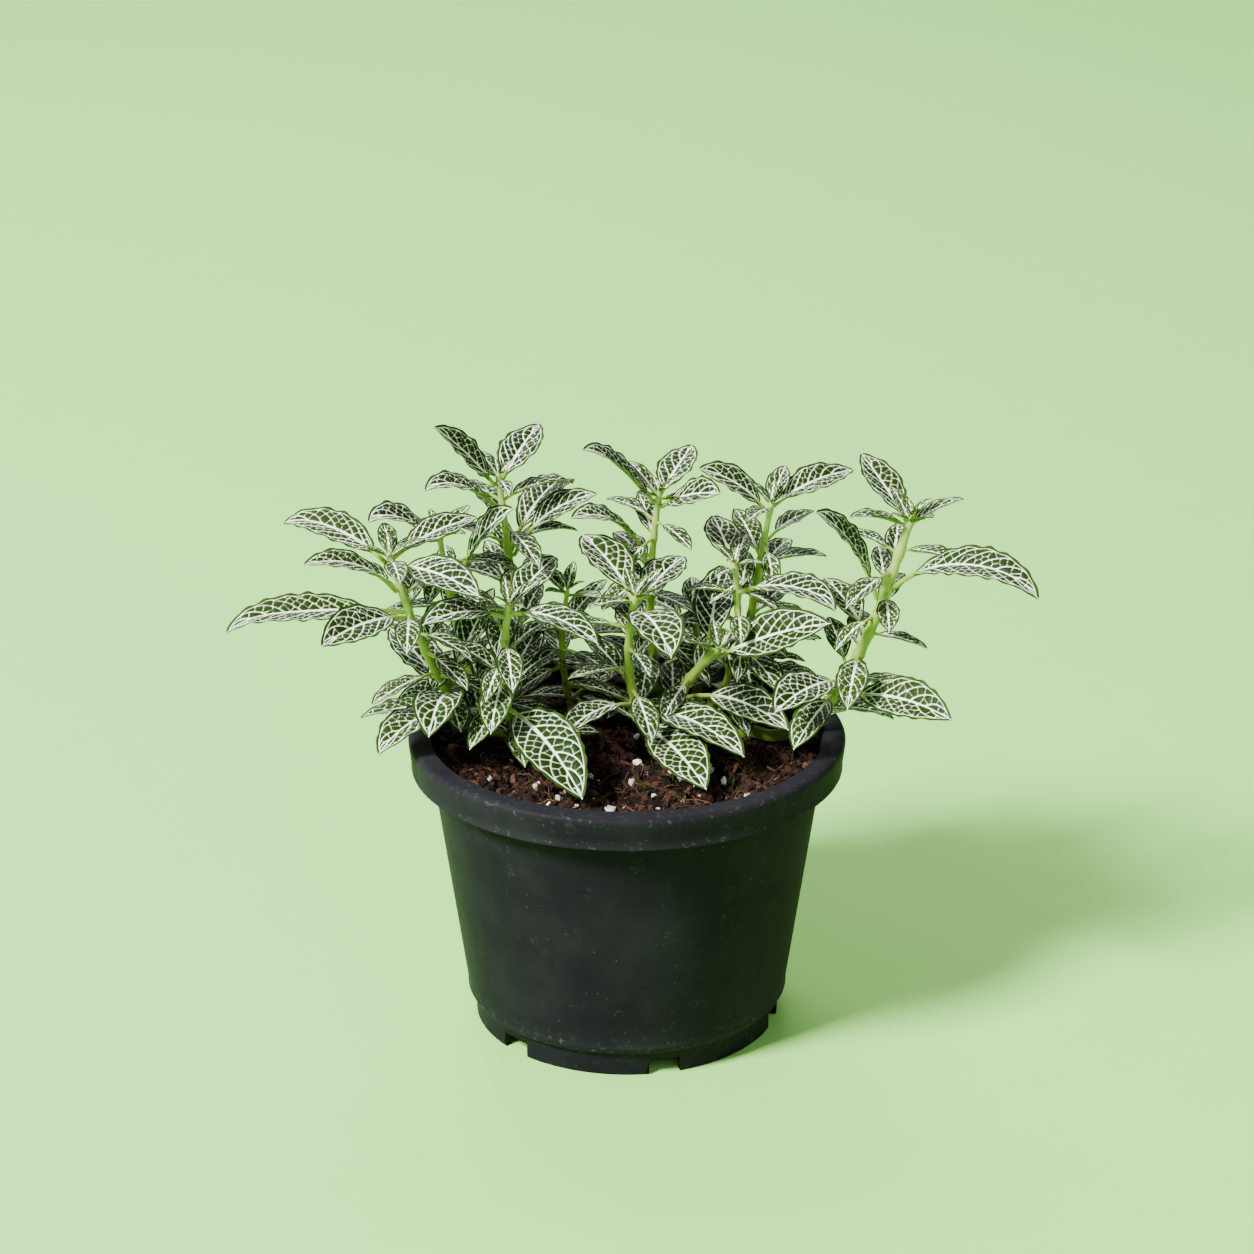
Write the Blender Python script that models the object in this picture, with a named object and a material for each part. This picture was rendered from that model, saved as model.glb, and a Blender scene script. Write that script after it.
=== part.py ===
"""A potted nerve plant: squat nursery pot, potting mix, twelve stems and their larger leaves.

Metres, +Z up.  The origin is on the pot's axis, at the surface that it stands on.  +X is the
plant's right side and -Y is its front.  The pot and the mix are turned solids.  Each stem is a
tube along a smooth curve, rooted in a socket in the mix, and each leaf is a folded blade with
its petiole, which starts just off its stem.
"""
import math
from dataclasses import dataclass

import bmesh
import bpy
from mathutils import Vector

MM = 0.001
GAP = 0.3 * MM                  # clearance between pieces that touch

# Pot
POT_HEIGHT = 77.0 * MM
RIM_RADIUS = 55.0 * MM          # outside of the rolled rim
RIM_WIDTH = 4.5 * MM            # from the wall's outer face, at the top, to the rim's outside
RIM_DEPTH = 8.5 * MM            # how far the rim's skirt hangs down
RIM_ROUND = 2.0 * MM            # rounding of the rim's outer top edge
LIP_ROUND = 0.7 * MM            # rounding of the rim's inner top edge
SKIRT_WALL = 1.2 * MM
SKIRT_DRAFT = 0.8 * MM          # how much the skirt narrows towards its lower edge
BASE_RADIUS = 40.8 * MM         # outside of the wall, just above the bottom corner
CORNER_ROUND = 2.0 * MM         # rounding of the bottom corner
WALL = 1.2 * MM
FLOOR = 1.6 * MM
FOOT_RADIUS = 39.0 * MM
FOOT_HEIGHT = 6.0 * MM
FOOT_WALL = 1.8 * MM
NOTCH_COUNT = 6
NOTCH_WIDTH = 8.0 * MM
NOTCH_HEIGHT = 4.0 * MM
NOTCH_PHASE = math.radians(284)  # direction of the notch nearest the front
DRAIN_COUNT = 6
DRAIN_RADIUS = 4.0 * MM
DRAIN_RING = 26.0 * MM          # distance of the drain holes from the axis
DRAIN_SIDES = 16
TURNS = 60                      # sides of the pot and of the mix
ARC_STEPS = 3
SHARP_ANGLE = math.radians(40)  # edges sharper than this stay crisp

# Potting mix
SOIL_DROP = 5.5 * MM            # from the rim's top down to the mix
SOIL_RIPPLE = 0.5 * MM          # how uneven the mix's surface is
SOIL_RINGS = (0.0, 0.2, 0.42, 0.62, 0.8, 1.0)
ROOT_DEPTH = 6.0 * MM           # how deep a stem sits in its socket
SOCKET_SIDES = 12

# Stems
STEM_SIDES = 8
STEM_STEP = 7.0 * MM            # distance between the rings of a stem
STEM_TIP_SHARE = 0.6            # a stem's girth at its tip, as a share of that at its root
STEM_COLLAR = 1.5 * MM          # straight stretch above the mix, before a stem bends
ROUTE_SPANS = 6                 # spans of a stem's route above its collar
ROUTE_FINE = 12                 # steps walked along each span when a node is looked for

# Leaves
LEAF_THICKNESS = 0.5 * MM
LEAF_EDGE_SHARE = 0.5           # thickness near the margin, as a share of that at the midrib
LEAF_FOLD = math.radians(17)    # how far each half of a blade is folded up
PETIOLE_RADIUS = 0.55 * MM
PETIOLE_START = 0.12            # where its first full ring is, as a share of its length
BLADE_RINGS = (0.05, 0.16, 0.32, 0.5, 0.68, 0.84, 0.94)
BLADE_SKEW = 0.85               # below 1, a blade is widest nearer its base
BLADE_FULLNESS = 0.85           # below 1, a blade's ends are blunter
CURL_START = 0.7                # share of the blade after which its tip curls under
BEND_FINE = 6                   # straight steps between two rings of a leaf


@dataclass(frozen=True)
class Leaf:
    """One leaf: lengths in mm, angles in degrees.

    `at` is its node's height above the mix.  Azimuth 0 points to +X and 90 to +Y.  The leaf
    leaves its stem at `rise` above the horizontal and bends down by `droop` along its length.
    """

    at: float
    azimuth: float
    rise: float
    blade: float
    width: float
    petiole: float = 3.0
    droop: float = 30.0
    curl: float = 0.0
    roll: float = 0.0


@dataclass(frozen=True)
class Shoot:
    """One shoot, in mm: its root (x, y), the place (x, y) and height of its tip, and its leaves.

    `sprawl` shapes the way up.  At 1 the stem leans evenly, above 1 it lies low first and then
    turns up, and below 1 it stands first and then leans out.  `bow` (x, y) is how far its middle
    is pushed aside.
    """

    name: str
    girth: float
    root: tuple
    tip: tuple
    height: float
    leaves: tuple = ()
    sprawl: float = 1.0
    bow: tuple = (0, 0)


LEFT_LEAVES = (
    Leaf(11, 230, 25, 24, 13, petiole=5, droop=60),
    Leaf(14, 260, 40, 23, 14, petiole=4, droop=80),
    Leaf(16, 60, 50, 23, 11, petiole=6, droop=15, roll=10),
    Leaf(15, 125, 25, 25, 14, petiole=3, droop=15),
    Leaf(38, 195, 10, 37, 13, petiole=8, droop=15, curl=35, roll=15),
    Leaf(37, 230, 20, 25, 13, petiole=5, droop=35, roll=25),
    Leaf(44, 210, 55, 22, 9, petiole=6, droop=60, roll=20),
    Leaf(50, 155, 40, 27, 12, petiole=5, droop=50, curl=20, roll=20),
    Leaf(51, 320, 15, 25, 12, petiole=3, droop=35, roll=-25),
    Leaf(53, 30, 30, 21, 11, petiole=3, droop=30, roll=-10),
)
FRONT_LEFT_LEAVES = (
    Leaf(13, 300, 5, 36, 17, petiole=3, droop=40, roll=-20),
    Leaf(18, 70, 25, 20, 10, petiole=4, droop=10),
    Leaf(40, 60, 25, 19, 12, petiole=3, droop=15),
    Leaf(39, 325, 20, 24, 11, petiole=3, droop=50, roll=-10),
    Leaf(38, 215, 30, 20, 11, petiole=4, droop=45, roll=15),
)
TALL_LEFT_LEAVES = (
    Leaf(66, 210, 55, 22, 11, petiole=2, droop=15, roll=40),
    Leaf(66, 65, 30, 21, 12, petiole=2, droop=15),
    Leaf(59, 215, 50, 21, 10, petiole=3, droop=50, curl=30, roll=15),
    Leaf(46, 60, 50, 28, 12, petiole=6, droop=60, curl=30),
    Leaf(45, 10, 65, 19, 10, petiole=8, droop=60, roll=-20),
)
BACK_LEFT_LEAVES = (
    Leaf(52, 215, 50, 20, 12, petiole=2, droop=45, curl=35, roll=15),
    Leaf(37, 330, 75, 21, 11, petiole=10, droop=40, roll=-40),
)
CENTRE_LEAVES = (
    Leaf(5, 295, 10, 31, 15, petiole=4, droop=30, roll=-15),
    Leaf(9, 315, 20, 31, 14, petiole=5, droop=45, roll=-10),
    Leaf(12, 225, 20, 20, 12, petiole=4, droop=45),
    Leaf(41, 125, 40, 21, 15, petiole=3, droop=30),
    Leaf(39, 60, 20, 20, 12, petiole=5, droop=15),
    Leaf(38, 290, 25, 23, 15, petiole=4, droop=60),
)
CENTRE_RIGHT_LEAVES = (
    Leaf(22, 80, 40, 24, 12, petiole=5, droop=15),
    Leaf(24, 335, 35, 30, 14, petiole=3, droop=20, roll=-45),
    Leaf(11, 320, 25, 26, 12, petiole=8, droop=50, roll=-25),
)
MID_RIGHT_LEAVES = (
    Leaf(38, 320, 30, 27, 12, petiole=4, droop=45, curl=30, roll=-15),
    Leaf(45, 105, 25, 18, 11, petiole=2, droop=10),
)
BACK_LEAVES = (
    Leaf(60, 215, 55, 26, 11, petiole=2, droop=25, curl=20, roll=25),
    Leaf(61, 65, 25, 19, 11, petiole=2, droop=10),
    Leaf(59, 310, 35, 21, 11, petiole=3, droop=25, roll=-35),
    Leaf(42, 215, 75, 21, 10, petiole=9, droop=80, roll=15),
)
BACK_RIGHT_LEAVES = (
    Leaf(58, 190, 55, 19, 11, petiole=2, droop=40, roll=30),
    Leaf(59, 35, 25, 23, 11, petiole=3, droop=30, roll=-15),
)
RIGHT_LEAVES = (
    Leaf(45, 325, 45, 37, 13, petiole=7, droop=70, curl=20, roll=-20),
    Leaf(42, 205, 75, 25, 12, petiole=6, droop=40, roll=35),
    Leaf(62, 120, 35, 21, 11, petiole=2, droop=10),
    Leaf(17, 320, 25, 28, 13, petiole=6, droop=40, roll=-35),
    Leaf(20, 230, 20, 24, 14, petiole=3, droop=40, roll=10),
)
REAR_LEAVES = (
    Leaf(23, 40, 35, 22, 11, petiole=3, droop=45),
    Leaf(21, 150, 30, 22, 11, petiole=3, droop=40),
)

SHOOTS = (
    Shoot("left", 1.3, (-31, 6), (-58, -6), 54, LEFT_LEAVES, sprawl=2.0),
    Shoot("front_left", 1.2, (-28, -4), (-29, -6), 41, FRONT_LEFT_LEAVES, bow=(-2, 0)),
    Shoot("tall_left", 1.2, (-28, 20), (-32, 14), 68, TALL_LEFT_LEAVES, bow=(1, 1)),
    Shoot("back_left", 1.2, (-31, 16), (-47, 14), 52, BACK_LEFT_LEAVES, sprawl=2.4, bow=(0, 2)),
    Shoot("mid_left", 1.0, (-14, 19), (-15, 12), 38, bow=(-2, 1)),
    Shoot("centre", 1.3, (5, 3), (2, -3), 42, CENTRE_LEAVES, bow=(-3, 1)),
    Shoot("centre_right", 1.5, (11, 12), (23, 3), 26, CENTRE_RIGHT_LEAVES, sprawl=0.6),
    Shoot("mid_right", 1.1, (22, 16), (27, 10), 46, MID_RIGHT_LEAVES, bow=(3, 0)),
    Shoot("back", 1.2, (8, 28), (8, 17), 62, BACK_LEAVES, bow=(-2, 1)),
    Shoot("back_right", 1.2, (28, 22), (36, 15), 60, BACK_RIGHT_LEAVES, bow=(0, 3)),
    Shoot("right", 1.7, (30, 8), (69, -4), 62, RIGHT_LEAVES, sprawl=2.4, bow=(0, -5)),
    Shoot("rear", 1.1, (18, 31), (17, 34), 24, REAR_LEAVES, bow=(1, 1)),
)

SOIL_LEVEL = POT_HEIGHT - SOIL_DROP
WALL_TOP_RADIUS = RIM_RADIUS - RIM_WIDTH
FLOOR_UNDERSIDE = FOOT_HEIGHT - FLOOR / 2
FLOOR_TOP = FLOOR_UNDERSIDE + FLOOR


def clear_scene():
    """Remove every object that the file starts with."""
    for item in list(bpy.data.objects):
        bpy.data.objects.remove(item)


def make_material(name, colour, roughness, metallic=0.0):
    """Return a Principled material."""
    material = bpy.data.materials.new(name)
    material.use_nodes = True
    shader = material.node_tree.nodes["Principled BSDF"]
    shader.inputs["Base Color"].default_value = (*colour, 1.0)
    shader.inputs["Roughness"].default_value = roughness
    shader.inputs["Metallic"].default_value = metallic
    return material


def add_object(name, mesh, material, parent=None, location=(0.0, 0.0, 0.0)):
    """Link an object with one material, shaded smooth but for its sharp edges."""
    mesh.materials.append(material)
    mesh.shade_smooth()
    mesh.set_sharp_from_angle(angle=SHARP_ANGLE)
    item = bpy.data.objects.new(name, mesh)
    bpy.context.collection.objects.link(item)
    item.parent = parent
    item.location = location
    return item


def add_cutter(target, name, mesh, location=(0.0, 0.0, 0.0), turn=0.0):
    """Cut `mesh`, placed at `location` and turned about Z, out of `target`."""
    cutter = bpy.data.objects.new(name, mesh)
    bpy.context.collection.objects.link(cutter)
    cutter.location = location
    cutter.rotation_euler = (0.0, 0.0, turn)
    cutter.hide_render = True
    cutter.display_type = "WIRE"
    cut = target.modifiers.new(name, "BOOLEAN")
    cut.operation = "DIFFERENCE"
    cut.solver = "EXACT"
    cut.object = cutter


def cylinder_mesh(name, radius, bottom, top, sides):
    """Return a closed cylinder on the Z axis."""
    shape = bmesh.new()
    bmesh.ops.create_cone(
        shape, cap_ends=True, segments=sides, radius1=radius, radius2=radius, depth=top - bottom
    )
    bmesh.ops.translate(shape, verts=shape.verts, vec=(0.0, 0.0, (top + bottom) / 2))
    mesh = bpy.data.meshes.new(name)
    shape.to_mesh(mesh)
    shape.free()
    return mesh


def box_mesh(name, low, high):
    """Return a closed box between two corners."""
    shape = bmesh.new()
    bmesh.ops.create_cube(shape, size=1.0)
    size = Vector(high) - Vector(low)
    middle = (Vector(high) + Vector(low)) / 2
    bmesh.ops.scale(shape, verts=shape.verts, vec=size)
    bmesh.ops.translate(shape, verts=shape.verts, vec=middle)
    mesh = bpy.data.meshes.new(name)
    shape.to_mesh(mesh)
    shape.free()
    return mesh


def turned_mesh(name, outline):
    """Spin a closed (radius, height) outline, which starts and ends on the axis, about Z."""
    shape = bmesh.new()
    points = [shape.verts.new((radius, 0.0, height)) for radius, height in outline]
    edges = [shape.edges.new(pair) for pair in zip(points, points[1:])]
    bmesh.ops.spin(
        shape, geom=points + edges, cent=(0.0, 0.0, 0.0), axis=(0.0, 0.0, 1.0),
        angle=math.tau, steps=TURNS, use_merge=True,
    )
    bmesh.ops.remove_doubles(shape, verts=shape.verts, dist=1e-6)
    bmesh.ops.recalc_face_normals(shape, faces=shape.faces)
    mesh = bpy.data.meshes.new(name)
    shape.to_mesh(mesh)
    shape.free()
    return mesh


def arc(centre, radius, start, end):
    """Return points of an arc about `centre`, from angle `start` to `end` in degrees."""
    angles = [math.radians(start + (end - start) * step / ARC_STEPS) for step in range(ARC_STEPS + 1)]
    return [(centre[0] + radius * math.cos(a), centre[1] + radius * math.sin(a)) for a in angles]


def wall_radius(height):
    """Return the outer radius of the pot's tapered wall at a height."""
    share = (height - FOOT_HEIGHT - CORNER_ROUND) / (POT_HEIGHT - FOOT_HEIGHT - CORNER_ROUND)
    return BASE_RADIUS + (WALL_TOP_RADIUS - BASE_RADIUS) * share


def inner_radius(height):
    """Return the radius of the pot's inner face at a height."""
    return wall_radius(height) - WALL


def build_pot(material):
    """Build the pot: foot ring, corner, wall, hanging rim, inner face, notches and drain holes."""
    skirt_end = POT_HEIGHT - RIM_DEPTH
    rim_underside = POT_HEIGHT - SKIRT_WALL
    corner = (BASE_RADIUS - CORNER_ROUND, FOOT_HEIGHT + CORNER_ROUND)
    lip = inner_radius(POT_HEIGHT) + LIP_ROUND
    outline = [
        (0.0, FLOOR_UNDERSIDE),
        (FOOT_RADIUS - FOOT_WALL, FLOOR_UNDERSIDE),
        (FOOT_RADIUS - FOOT_WALL, 0.0),
        (FOOT_RADIUS, 0.0),
        (FOOT_RADIUS, FOOT_HEIGHT),
        *arc(corner, CORNER_ROUND, -75, 0),
        (wall_radius(rim_underside), rim_underside),
        (RIM_RADIUS - SKIRT_WALL, rim_underside),
        (RIM_RADIUS - SKIRT_WALL - SKIRT_DRAFT, skirt_end),
        (RIM_RADIUS - SKIRT_DRAFT, skirt_end),
        *arc((RIM_RADIUS - RIM_ROUND, POT_HEIGHT - RIM_ROUND), RIM_ROUND, 0, 90),
        *arc((lip, POT_HEIGHT - LIP_ROUND), LIP_ROUND, 90, 180),
        (inner_radius(FLOOR_TOP), FLOOR_TOP),
        (0.0, FLOOR_TOP),
    ]
    pot = add_object("pot", turned_mesh("pot", outline), material)
    for index in range(NOTCH_COUNT):
        low = (FOOT_RADIUS - 2 * FOOT_WALL, -NOTCH_WIDTH / 2, -NOTCH_HEIGHT)
        high = (FOOT_RADIUS + FOOT_WALL, NOTCH_WIDTH / 2, NOTCH_HEIGHT)
        turn = NOTCH_PHASE + index * math.tau / NOTCH_COUNT
        add_cutter(pot, f"notch_{index + 1}", box_mesh("notch", low, high), turn=turn)
    for index in range(DRAIN_COUNT):
        angle = (index + 0.5) * math.tau / DRAIN_COUNT
        place = (DRAIN_RING * math.cos(angle), DRAIN_RING * math.sin(angle), 0.0)
        low = FLOOR_UNDERSIDE - FLOOR
        high = FLOOR_TOP + FLOOR
        hole = cylinder_mesh("drain", DRAIN_RADIUS, low, high, DRAIN_SIDES)
        add_cutter(pot, f"drain_{index + 1}", hole, place)
    return pot


def ripple(x, y):
    """Return the height of the mix's surface above its level."""
    waves = math.sin(170 * x + 1.0) * math.cos(140 * y) + 0.6 * math.sin(310 * y + 120 * x)
    return SOIL_RIPPLE * waves / 1.6


def build_soil(material, stems_at):
    """Build the mix, which fills the pot up to its level, with a socket for each stem.

    `stems_at` holds (x, y, radius) for each stem.
    """
    bottom = FLOOR_TOP + GAP
    corner = inner_radius(bottom) - GAP
    edge = inner_radius(SOIL_LEVEL) - GAP
    outline = [(0.0, bottom), (corner, bottom), (edge, SOIL_LEVEL)]
    outline += [(share * edge, SOIL_LEVEL) for share in reversed(SOIL_RINGS[:-1])]
    mesh = turned_mesh("soil", outline)
    for point in mesh.vertices:
        inside = math.hypot(point.co.x, point.co.y) < edge - GAP
        if inside and point.co.z > SOIL_LEVEL - GAP:
            point.co.z += ripple(point.co.x, point.co.y)
    soil = add_object("soil", mesh, material)
    for index, (x, y, radius) in enumerate(stems_at):
        depth = ROOT_DEPTH + GAP
        socket = cylinder_mesh("socket", radius + GAP, -depth, depth, SOCKET_SIDES)
        add_cutter(soil, f"socket_{index + 1}", socket, (x, y, SOIL_LEVEL))
    return soil


def lofted_mesh(name, start, rings, end):
    """Join rings of points, with a point at each end, into one closed skin."""
    shape = bmesh.new()
    first = shape.verts.new(start)
    loops = [[shape.verts.new(point) for point in ring] for ring in rings]
    last = shape.verts.new(end)
    count = len(rings[0])
    for index in range(count):
        follow = (index + 1) % count
        shape.faces.new((first, loops[0][follow], loops[0][index]))
        for lower, upper in zip(loops, loops[1:]):
            shape.faces.new((lower[index], lower[follow], upper[follow], upper[index]))
        shape.faces.new((last, loops[-1][index], loops[-1][follow]))
    bmesh.ops.triangulate(shape, faces=shape.faces)
    bmesh.ops.recalc_face_normals(shape, faces=shape.faces)
    mesh = bpy.data.meshes.new(name)
    shape.to_mesh(mesh)
    shape.free()
    return mesh


class Route:
    """A stem's way from its root up to its tip, relative to the mix's level.

    Its points follow the shoot's lean, sprawl and bow, and a smooth curve (Catmull-Rom) joins them.
    """

    def __init__(self, shoot):
        self.radius = shoot.girth * MM
        x, y = shoot.root
        root = Vector((x * MM, y * MM, -ROOT_DEPTH))
        collar = Vector((x * MM, y * MM, STEM_COLLAR))
        lean = Vector((*shoot.tip, 0.0)) * MM - Vector((*shoot.root, 0.0)) * MM
        bow = Vector((*shoot.bow, 0.0)) * MM
        climb = Vector((0.0, 0.0, shoot.height * MM - STEM_COLLAR))
        shares = [(step + 1) / ROUTE_SPANS for step in range(ROUTE_SPANS)]
        self.points = [root, collar] + [
            collar + lean * share + climb * share ** shoot.sprawl + bow * math.sin(math.pi * share)
            for share in shares
        ]
        spans = [(b - a).length for a, b in zip(self.points, self.points[1:])]
        self.length = sum(spans)

    def at(self, span, share):
        """Return the point at `share` of the way along span number `span`."""
        a = self.points[max(span - 1, 0)]
        b = self.points[span]
        c = self.points[span + 1]
        d = self.points[min(span + 2, len(self.points) - 1)]
        if span == 0:
            return b.lerp(c, share)
        into = (c - a) / 2 if span > 1 else Vector((0.0, 0.0, (c - b).length / 2))
        out = (d - b) / 2
        s2 = share * share
        s3 = s2 * share
        return (
            b * (2 * s3 - 3 * s2 + 1) + into * (s3 - 2 * s2 + share)
            + c * (3 * s2 - 2 * s3) + out * (s3 - s2)
        )

    def samples(self):
        """Return points along the route, about STEM_STEP apart."""
        found = [self.points[0]]
        for span in range(len(self.points) - 1):
            length = (self.points[span + 1] - self.points[span]).length
            steps = max(1, round(length / STEM_STEP))
            found += [self.at(span, (step + 1) / steps) for step in range(steps)]
        return found

    def node(self, height):
        """Return the point, direction and radius where the route first reaches a height."""
        before = self.points[0]
        walked = 0.0
        for span in range(len(self.points) - 1):
            for step in range(ROUTE_FINE):
                point = self.at(span, (step + 1) / ROUTE_FINE)
                walked += (point - before).length
                if point.z >= height:
                    return point, (point - before).normalized(), self.radius_at(walked / self.length)
                direction = (point - before).normalized()
                before = point
        return before, direction, self.radius_at(1.0)

    def radius_at(self, share):
        """Return the stem's radius at a share of its length."""
        return self.radius * (1 + (STEM_TIP_SHARE - 1) * min(share, 1.0))


def build_stem(shoot, route, material, parent):
    """Build one stem as a tapered tube with a pointed cap at each end."""
    centres = route.samples()
    side = Vector((1.0, 0.0, 0.0))
    rings = []
    for index, centre in enumerate(centres):
        ahead = centres[min(index + 1, len(centres) - 1)]
        behind = centres[max(index - 1, 0)]
        direction = (ahead - behind).normalized()
        side = (side - direction * side.dot(direction)).normalized()
        other = direction.cross(side)
        radius = route.radius_at(index / (len(centres) - 1))
        angles = [math.tau * step / STEM_SIDES for step in range(STEM_SIDES)]
        rings.append([centre + (side * math.cos(a) + other * math.sin(a)) * radius for a in angles])
    tip = centres[-1] + direction * route.radius_at(1.0)
    mesh = lofted_mesh(f"stem_{shoot.name}", centres[0], rings, tip)
    return add_object(f"stem_{shoot.name}", mesh, material, parent)


def half_width(share):
    """Return a blade's half width at a share of its length, as a share of its greatest."""
    return math.sin(math.pi * share ** BLADE_SKEW) ** BLADE_FULLNESS


def leaf_section(centre, side, normal, reach, thickness, fold):
    """Return eight points round a leaf: right edge, top right to left, left edge, underneath.

    The halves are folded up by `fold`, so the middle of the upper face lies lowest.
    """
    def point(across, lift):
        return centre + side * (across * math.cos(fold)) + normal * (abs(across) * math.sin(fold) + lift)

    half = thickness / 2
    thin = half * LEAF_EDGE_SHARE
    return [
        point(reach, 0.0),
        point(reach / 2, thin),
        point(0.0, half),
        point(-reach / 2, thin),
        point(-reach, 0.0),
        point(-reach / 2, -thin),
        point(0.0, -half),
        point(reach / 2, -thin),
    ]


def build_leaf(name, leaf, route, material, parent):
    """Build one leaf: a petiole that starts off its stem, and a folded, drooping blade."""
    azimuth = math.radians(leaf.azimuth)
    outward = Vector((math.cos(azimuth), math.sin(azimuth), 0.0))
    side = Vector((math.sin(azimuth), -math.cos(azimuth), 0.0))
    upward = Vector((0.0, 0.0, 1.0))
    petiole = leaf.petiole * MM
    blade = leaf.blade * MM
    total = petiole + blade

    def tangent(walked):
        share = (walked - petiole) / blade
        curl = leaf.curl * max(0.0, (share - CURL_START) / (1 - CURL_START))
        angle = math.radians(leaf.rise - leaf.droop * walked / total - curl)
        return outward * math.cos(angle) + upward * math.sin(angle)

    node, stem_direction, stem_radius = route.node(leaf.at * MM)
    start_direction = tangent(0.0)
    along = start_direction.dot(stem_direction)
    off_stem = (start_direction - stem_direction * along).normalized()
    base = node + off_stem * (stem_radius + GAP + PETIOLE_RADIUS * abs(along))

    stops = [petiole * PETIOLE_START, petiole] + [petiole + blade * share for share in BLADE_RINGS]
    rings = []
    point = Vector((0.0, 0.0, 0.0))
    walked = 0.0
    for index, stop in enumerate(stops + [total]):
        step = (stop - walked) / BEND_FINE
        for _ in range(BEND_FINE):
            point = point + tangent(walked + step / 2) * step
            walked += step
        direction = tangent(walked)
        roll = math.radians(leaf.roll)
        across = side * math.cos(roll) + side.cross(direction) * math.sin(roll)
        normal = across.cross(direction)
        share = (walked - petiole) / blade
        if share <= 0.0:
            rings.append(petiole_section(point, across, normal, PETIOLE_RADIUS))
        elif index < len(stops):
            reach = max(leaf.width * MM / 2 * half_width(share), PETIOLE_RADIUS)
            rings.append(leaf_section(point, across, normal, reach, LEAF_THICKNESS, LEAF_FOLD))
    mesh = lofted_mesh(name, Vector((0.0, 0.0, 0.0)), rings, point)
    return add_object(name, mesh, material, parent, base)


def petiole_section(centre, side, normal, radius):
    """Return eight points round a petiole, in the order of leaf_section."""
    angles = [math.tau * step / 8 for step in range(8)]
    return [centre + (side * math.cos(a) + normal * math.sin(a)) * radius for a in angles]


def build_plant(soil_parent, stem_material, leaf_material):
    """Build every shoot, and return (x, y, radius) of each root."""
    roots = []
    for shoot in SHOOTS:
        route = Route(shoot)
        build_stem(shoot, route, stem_material, soil_parent)
        for index, leaf in enumerate(shoot.leaves):
            build_leaf(f"leaf_{shoot.name}_{index + 1}", leaf, route, leaf_material, soil_parent)
        x, y = shoot.root
        roots.append((x * MM, y * MM, route.radius))
    return roots


def main():
    """Build the pot, the plant on the level of the mix, and the mix round its roots."""
    clear_scene()
    pot_plastic = make_material("pot_plastic", (0.020, 0.021, 0.022), 0.45)
    mix = make_material("potting_mix", (0.030, 0.015, 0.009), 0.95)
    stem_green = make_material("stem_green", (0.25, 0.38, 0.04), 0.5)
    leaf_green = make_material("leaf_green", (0.06, 0.12, 0.03), 0.45)
    build_pot(pot_plastic)
    level = bpy.data.objects.new("soil_level", None)
    bpy.context.collection.objects.link(level)
    level.location = (0.0, 0.0, SOIL_LEVEL)
    roots = build_plant(level, stem_green, leaf_green)
    build_soil(mix, roots)


main()
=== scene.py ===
"""Looks of a potted nerve plant: net-veined leaves, fleshy stems, potting mix and a scuffed pot.

The CAD leaves and stems are read back as lines and widths, and each gets a finer form on the same
line.  Young leaves, shoot tips, crumbs, fibres and perlite are added.  Numbers named in mm are in
millimetres and are turned into metres when a mesh is made.
"""

import logging
import math
from collections.abc import Callable, Iterable
from dataclasses import dataclass, field
from enum import Enum

import bpy
import numpy as np
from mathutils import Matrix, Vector


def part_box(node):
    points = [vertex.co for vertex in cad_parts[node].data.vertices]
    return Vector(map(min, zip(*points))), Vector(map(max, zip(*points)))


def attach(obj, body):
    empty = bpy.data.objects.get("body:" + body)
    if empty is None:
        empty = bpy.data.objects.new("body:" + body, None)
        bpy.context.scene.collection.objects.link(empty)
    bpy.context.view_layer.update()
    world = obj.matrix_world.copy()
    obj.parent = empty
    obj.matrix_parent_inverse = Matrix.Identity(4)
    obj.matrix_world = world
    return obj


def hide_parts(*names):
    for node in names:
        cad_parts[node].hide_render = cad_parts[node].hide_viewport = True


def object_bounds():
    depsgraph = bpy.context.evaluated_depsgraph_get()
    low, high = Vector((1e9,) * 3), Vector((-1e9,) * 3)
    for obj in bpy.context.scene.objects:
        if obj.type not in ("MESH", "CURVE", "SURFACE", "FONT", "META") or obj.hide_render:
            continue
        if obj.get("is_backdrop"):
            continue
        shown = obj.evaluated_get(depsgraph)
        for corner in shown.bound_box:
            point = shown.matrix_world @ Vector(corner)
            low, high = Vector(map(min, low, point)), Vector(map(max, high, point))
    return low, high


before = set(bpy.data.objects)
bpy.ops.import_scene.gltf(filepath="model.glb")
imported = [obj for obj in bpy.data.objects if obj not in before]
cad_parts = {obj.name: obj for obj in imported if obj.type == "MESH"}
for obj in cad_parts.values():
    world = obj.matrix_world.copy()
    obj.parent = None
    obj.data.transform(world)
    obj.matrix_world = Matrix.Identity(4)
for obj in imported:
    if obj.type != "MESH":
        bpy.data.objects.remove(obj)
START_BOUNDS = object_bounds()

MM = 0.001
SEED = 71
Rgb = tuple[float, float, float]
Array = np.ndarray

LOG = logging.getLogger("nerve_plant")


# ---------------------------------------------------------------- shader building


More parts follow.
